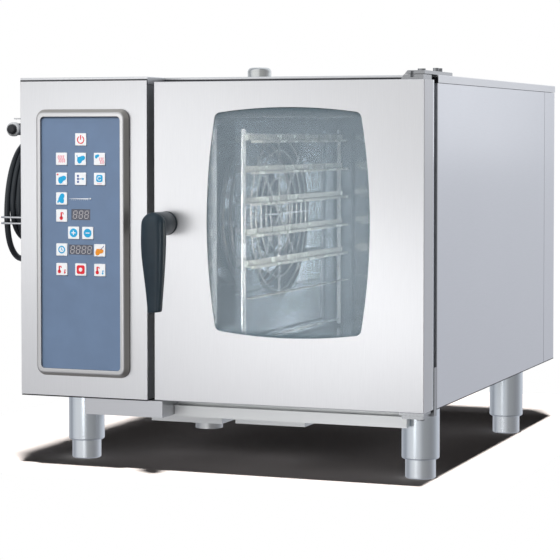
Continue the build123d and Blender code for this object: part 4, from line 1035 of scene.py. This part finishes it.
def paint_bezel_shade():
    """Painted shade: the bezel's slopes are darker than its rim, and its foot is a dark, unmetallic band of
    painted shadow.
    """
    material = MATERIALS["bezel_steel"]
    foot = (FRONT - BEZEL_FOOT * MM, FRONT - (BEZEL_FOOT - FOOT_SHADOW_EDGE) * MM)
    slope = ramp_along(material, "Y", FRONT - BEZEL_RIM * MM, FRONT - BEZEL_SLOPE * MM, 0.0, 1.0)
    # painted shade on the slopes, then painted shadow on the foot, which also loses its metal
    shade_by(material, slope, SLOPE_SHADE_TONE)
    shade_by(material, ramp_along(material, "Y", *foot, 0.0, 1.0), FOOT_SHADOW_TONE)
    drive(material, "Metallic", ramp_along(material, "Y", *foot, 0.85, 0.0))


def shade_lid_edge():
    """Painted shade: the lower half of the lid's front edges is darkened where they lie in the gap above the
    column and the door.
    """
    material = MATERIALS["lid_steel"]
    tree = material.node_tree
    low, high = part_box("top_cover")
    depth = axes_of(tree)["Y"]
    faces = (low.y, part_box("front_frame")[0].y)
    on_faces = [math_node(tree, "COMPARE", depth, face, ON_FACE * MM) for face in faces]
    start, end = (high.z + height * MM for height in LID_EDGE)
    below = ramp_along(material, "Z", start, end, 1.0, 0.0)
    shade_by(material, math_node(tree, "MULTIPLY", math_node(tree, "MAXIMUM", *on_faces), below), LID_GAP_SHADE_TONE)


def shade_column_return():
    """Painted shade: the column's side, in the gap beside the door, is a darker strip."""
    material = MATERIALS["column_steel"]
    start, end = (COLUMN_HIGH.x - inset * MM for inset in COLUMN_EDGE)
    shade_by(material, ramp_along(material, "X", start, end, 0.0, 1.0), COLUMN_SIDE_SHADE_TONE)


def print_glass_border():
    """The outer pane has a darker, denser printed border, which follows its bowed outline."""
    material = MATERIALS["outer_pane"]
    tree = material.node_tree
    low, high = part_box("outer_glass")
    axes = axes_of(tree)
    powers = []
    for axis, start, end in (("X", low.x, high.x), ("Z", low.z, high.z)):
        offset = math_node(tree, "ABSOLUTE", math_node(tree, "SUBTRACT", axes[axis], (start + end) / 2))
        share = math_node(tree, "DIVIDE", offset, (end - start) / 2)
        powers.append(math_node(tree, "POWER", share, BORDER_POWER))
    border = map_range(tree, math_node(tree, "ADD", *powers), *BORDER_SPAN, 0.0, 1.0, "SMOOTHSTEP")
    shade_by(material, border, BORDER_TONE)
    drive(material, "Alpha", map_range(tree, border, 0.0, 1.0, OUTER_VEIL, BORDER_VEIL))


def brighten_guard():
    """The guard's wires are lighter than the panel that carries them, which starts where they end."""
    material = MATERIALS["guard_steel"]
    tree = material.node_tree
    low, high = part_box("fan_wheel")
    coord = tree.nodes.new("ShaderNodeTexCoord")
    flat = tree.nodes.new("ShaderNodeVectorMath")
    flat.operation = "MULTIPLY"
    flat.inputs[1].default_value = (0.0, 1.0, 1.0)
    reach = tree.nodes.new("ShaderNodeVectorMath")
    reach.operation = "DISTANCE"
    reach.inputs[1].default_value = (0.0, (low.y + high.y) / 2, (low.z + high.z) / 2)
    tree.links.new(coord.outputs["Object"], flat.inputs[0])
    tree.links.new(flat.outputs["Vector"], reach.inputs[0])
    outside = math_node(tree, "GREATER_THAN", reach.outputs["Value"], GUARD_REACH * MM)
    drive(material, "Metallic", map_range(tree, outside, 0.0, 1.0, GUARD_WIRE_METAL, 1.0))
    shade_by(material, outside, GUARD_PANEL_TONE)


# ---------------------------------------------------------------- vent chimney
VENT_RADIUS, VENT_WALL, VENT_ROLL = 26.0, 1.5, 9.0
# its welded flange: millimetres above the lid, and out from the pipe
VENT_FLANGE = ((0.0, 0.0), (0.0, 8.0), (1.4, 8.0), (2.2, 7.0), (2.8, 1.2), (4.0, 0.0))
VENT_STEPS = 64


def make_vent():
    """A steam chimney with a rolled rim: a thick-walled tube that stands on a welded flange."""
    low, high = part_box("vent_chimney")
    lid_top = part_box("top_cover")[1].z
    outer, wall, roll = VENT_RADIUS * MM, VENT_WALL * MM, VENT_ROLL * MM
    bends = [math.radians(90 * k / 8) for k in range(9)]
    profile = [(low.z, outer)]
    profile += [(lid_top + up, outer + out) for up, out in mm(VENT_FLANGE)]
    for radius, arc in ((roll, bends), (roll - wall, bends[::-1])):
        profile += [(high.z - roll + radius * math.sin(b), outer - roll + radius * math.cos(b)) for b in arc]
    profile += [(low.z, outer - wall)]
    centre = ((low.x + high.x) / 2, (low.y + high.y) / 2, 0.0)
    rings = lathe_rings(profile, centre, (0, 0, 1), VENT_STEPS)
    mesh_data = loft(rings + [rings[0]], closed_ends=False)
    bmesh.ops.remove_doubles(mesh_data, verts=mesh_data.verts, dist=1e-6)
    bmesh.ops.recalc_face_normals(mesh_data, faces=mesh_data.faces)
    vent = new_piece("vent_pipe", mesh_data, "cabinet", "leg_steel", "vent_steel", smooth=True)
    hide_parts("vent_chimney")


# ---------------------------------------------------------------- assembly
make_studio()
dress_nodes()
make_symbols()
make_digits()
make_humidity_scale()
make_lever()
# the hose's shadow would fall on the floor beside the oven, where the photograph has none
hung = [make_hose(), *make_handset(), NODES["hose_bracket"], NODES["spray_trigger"]]
link_light(bpy.data.objects["floor_sun"], hung, "EXCLUDE", "blocker")
make_racks()
paint_bezel_shade()
shade_lid_edge()
shade_column_return()
print_glass_border()
brighten_guard()
make_vent()
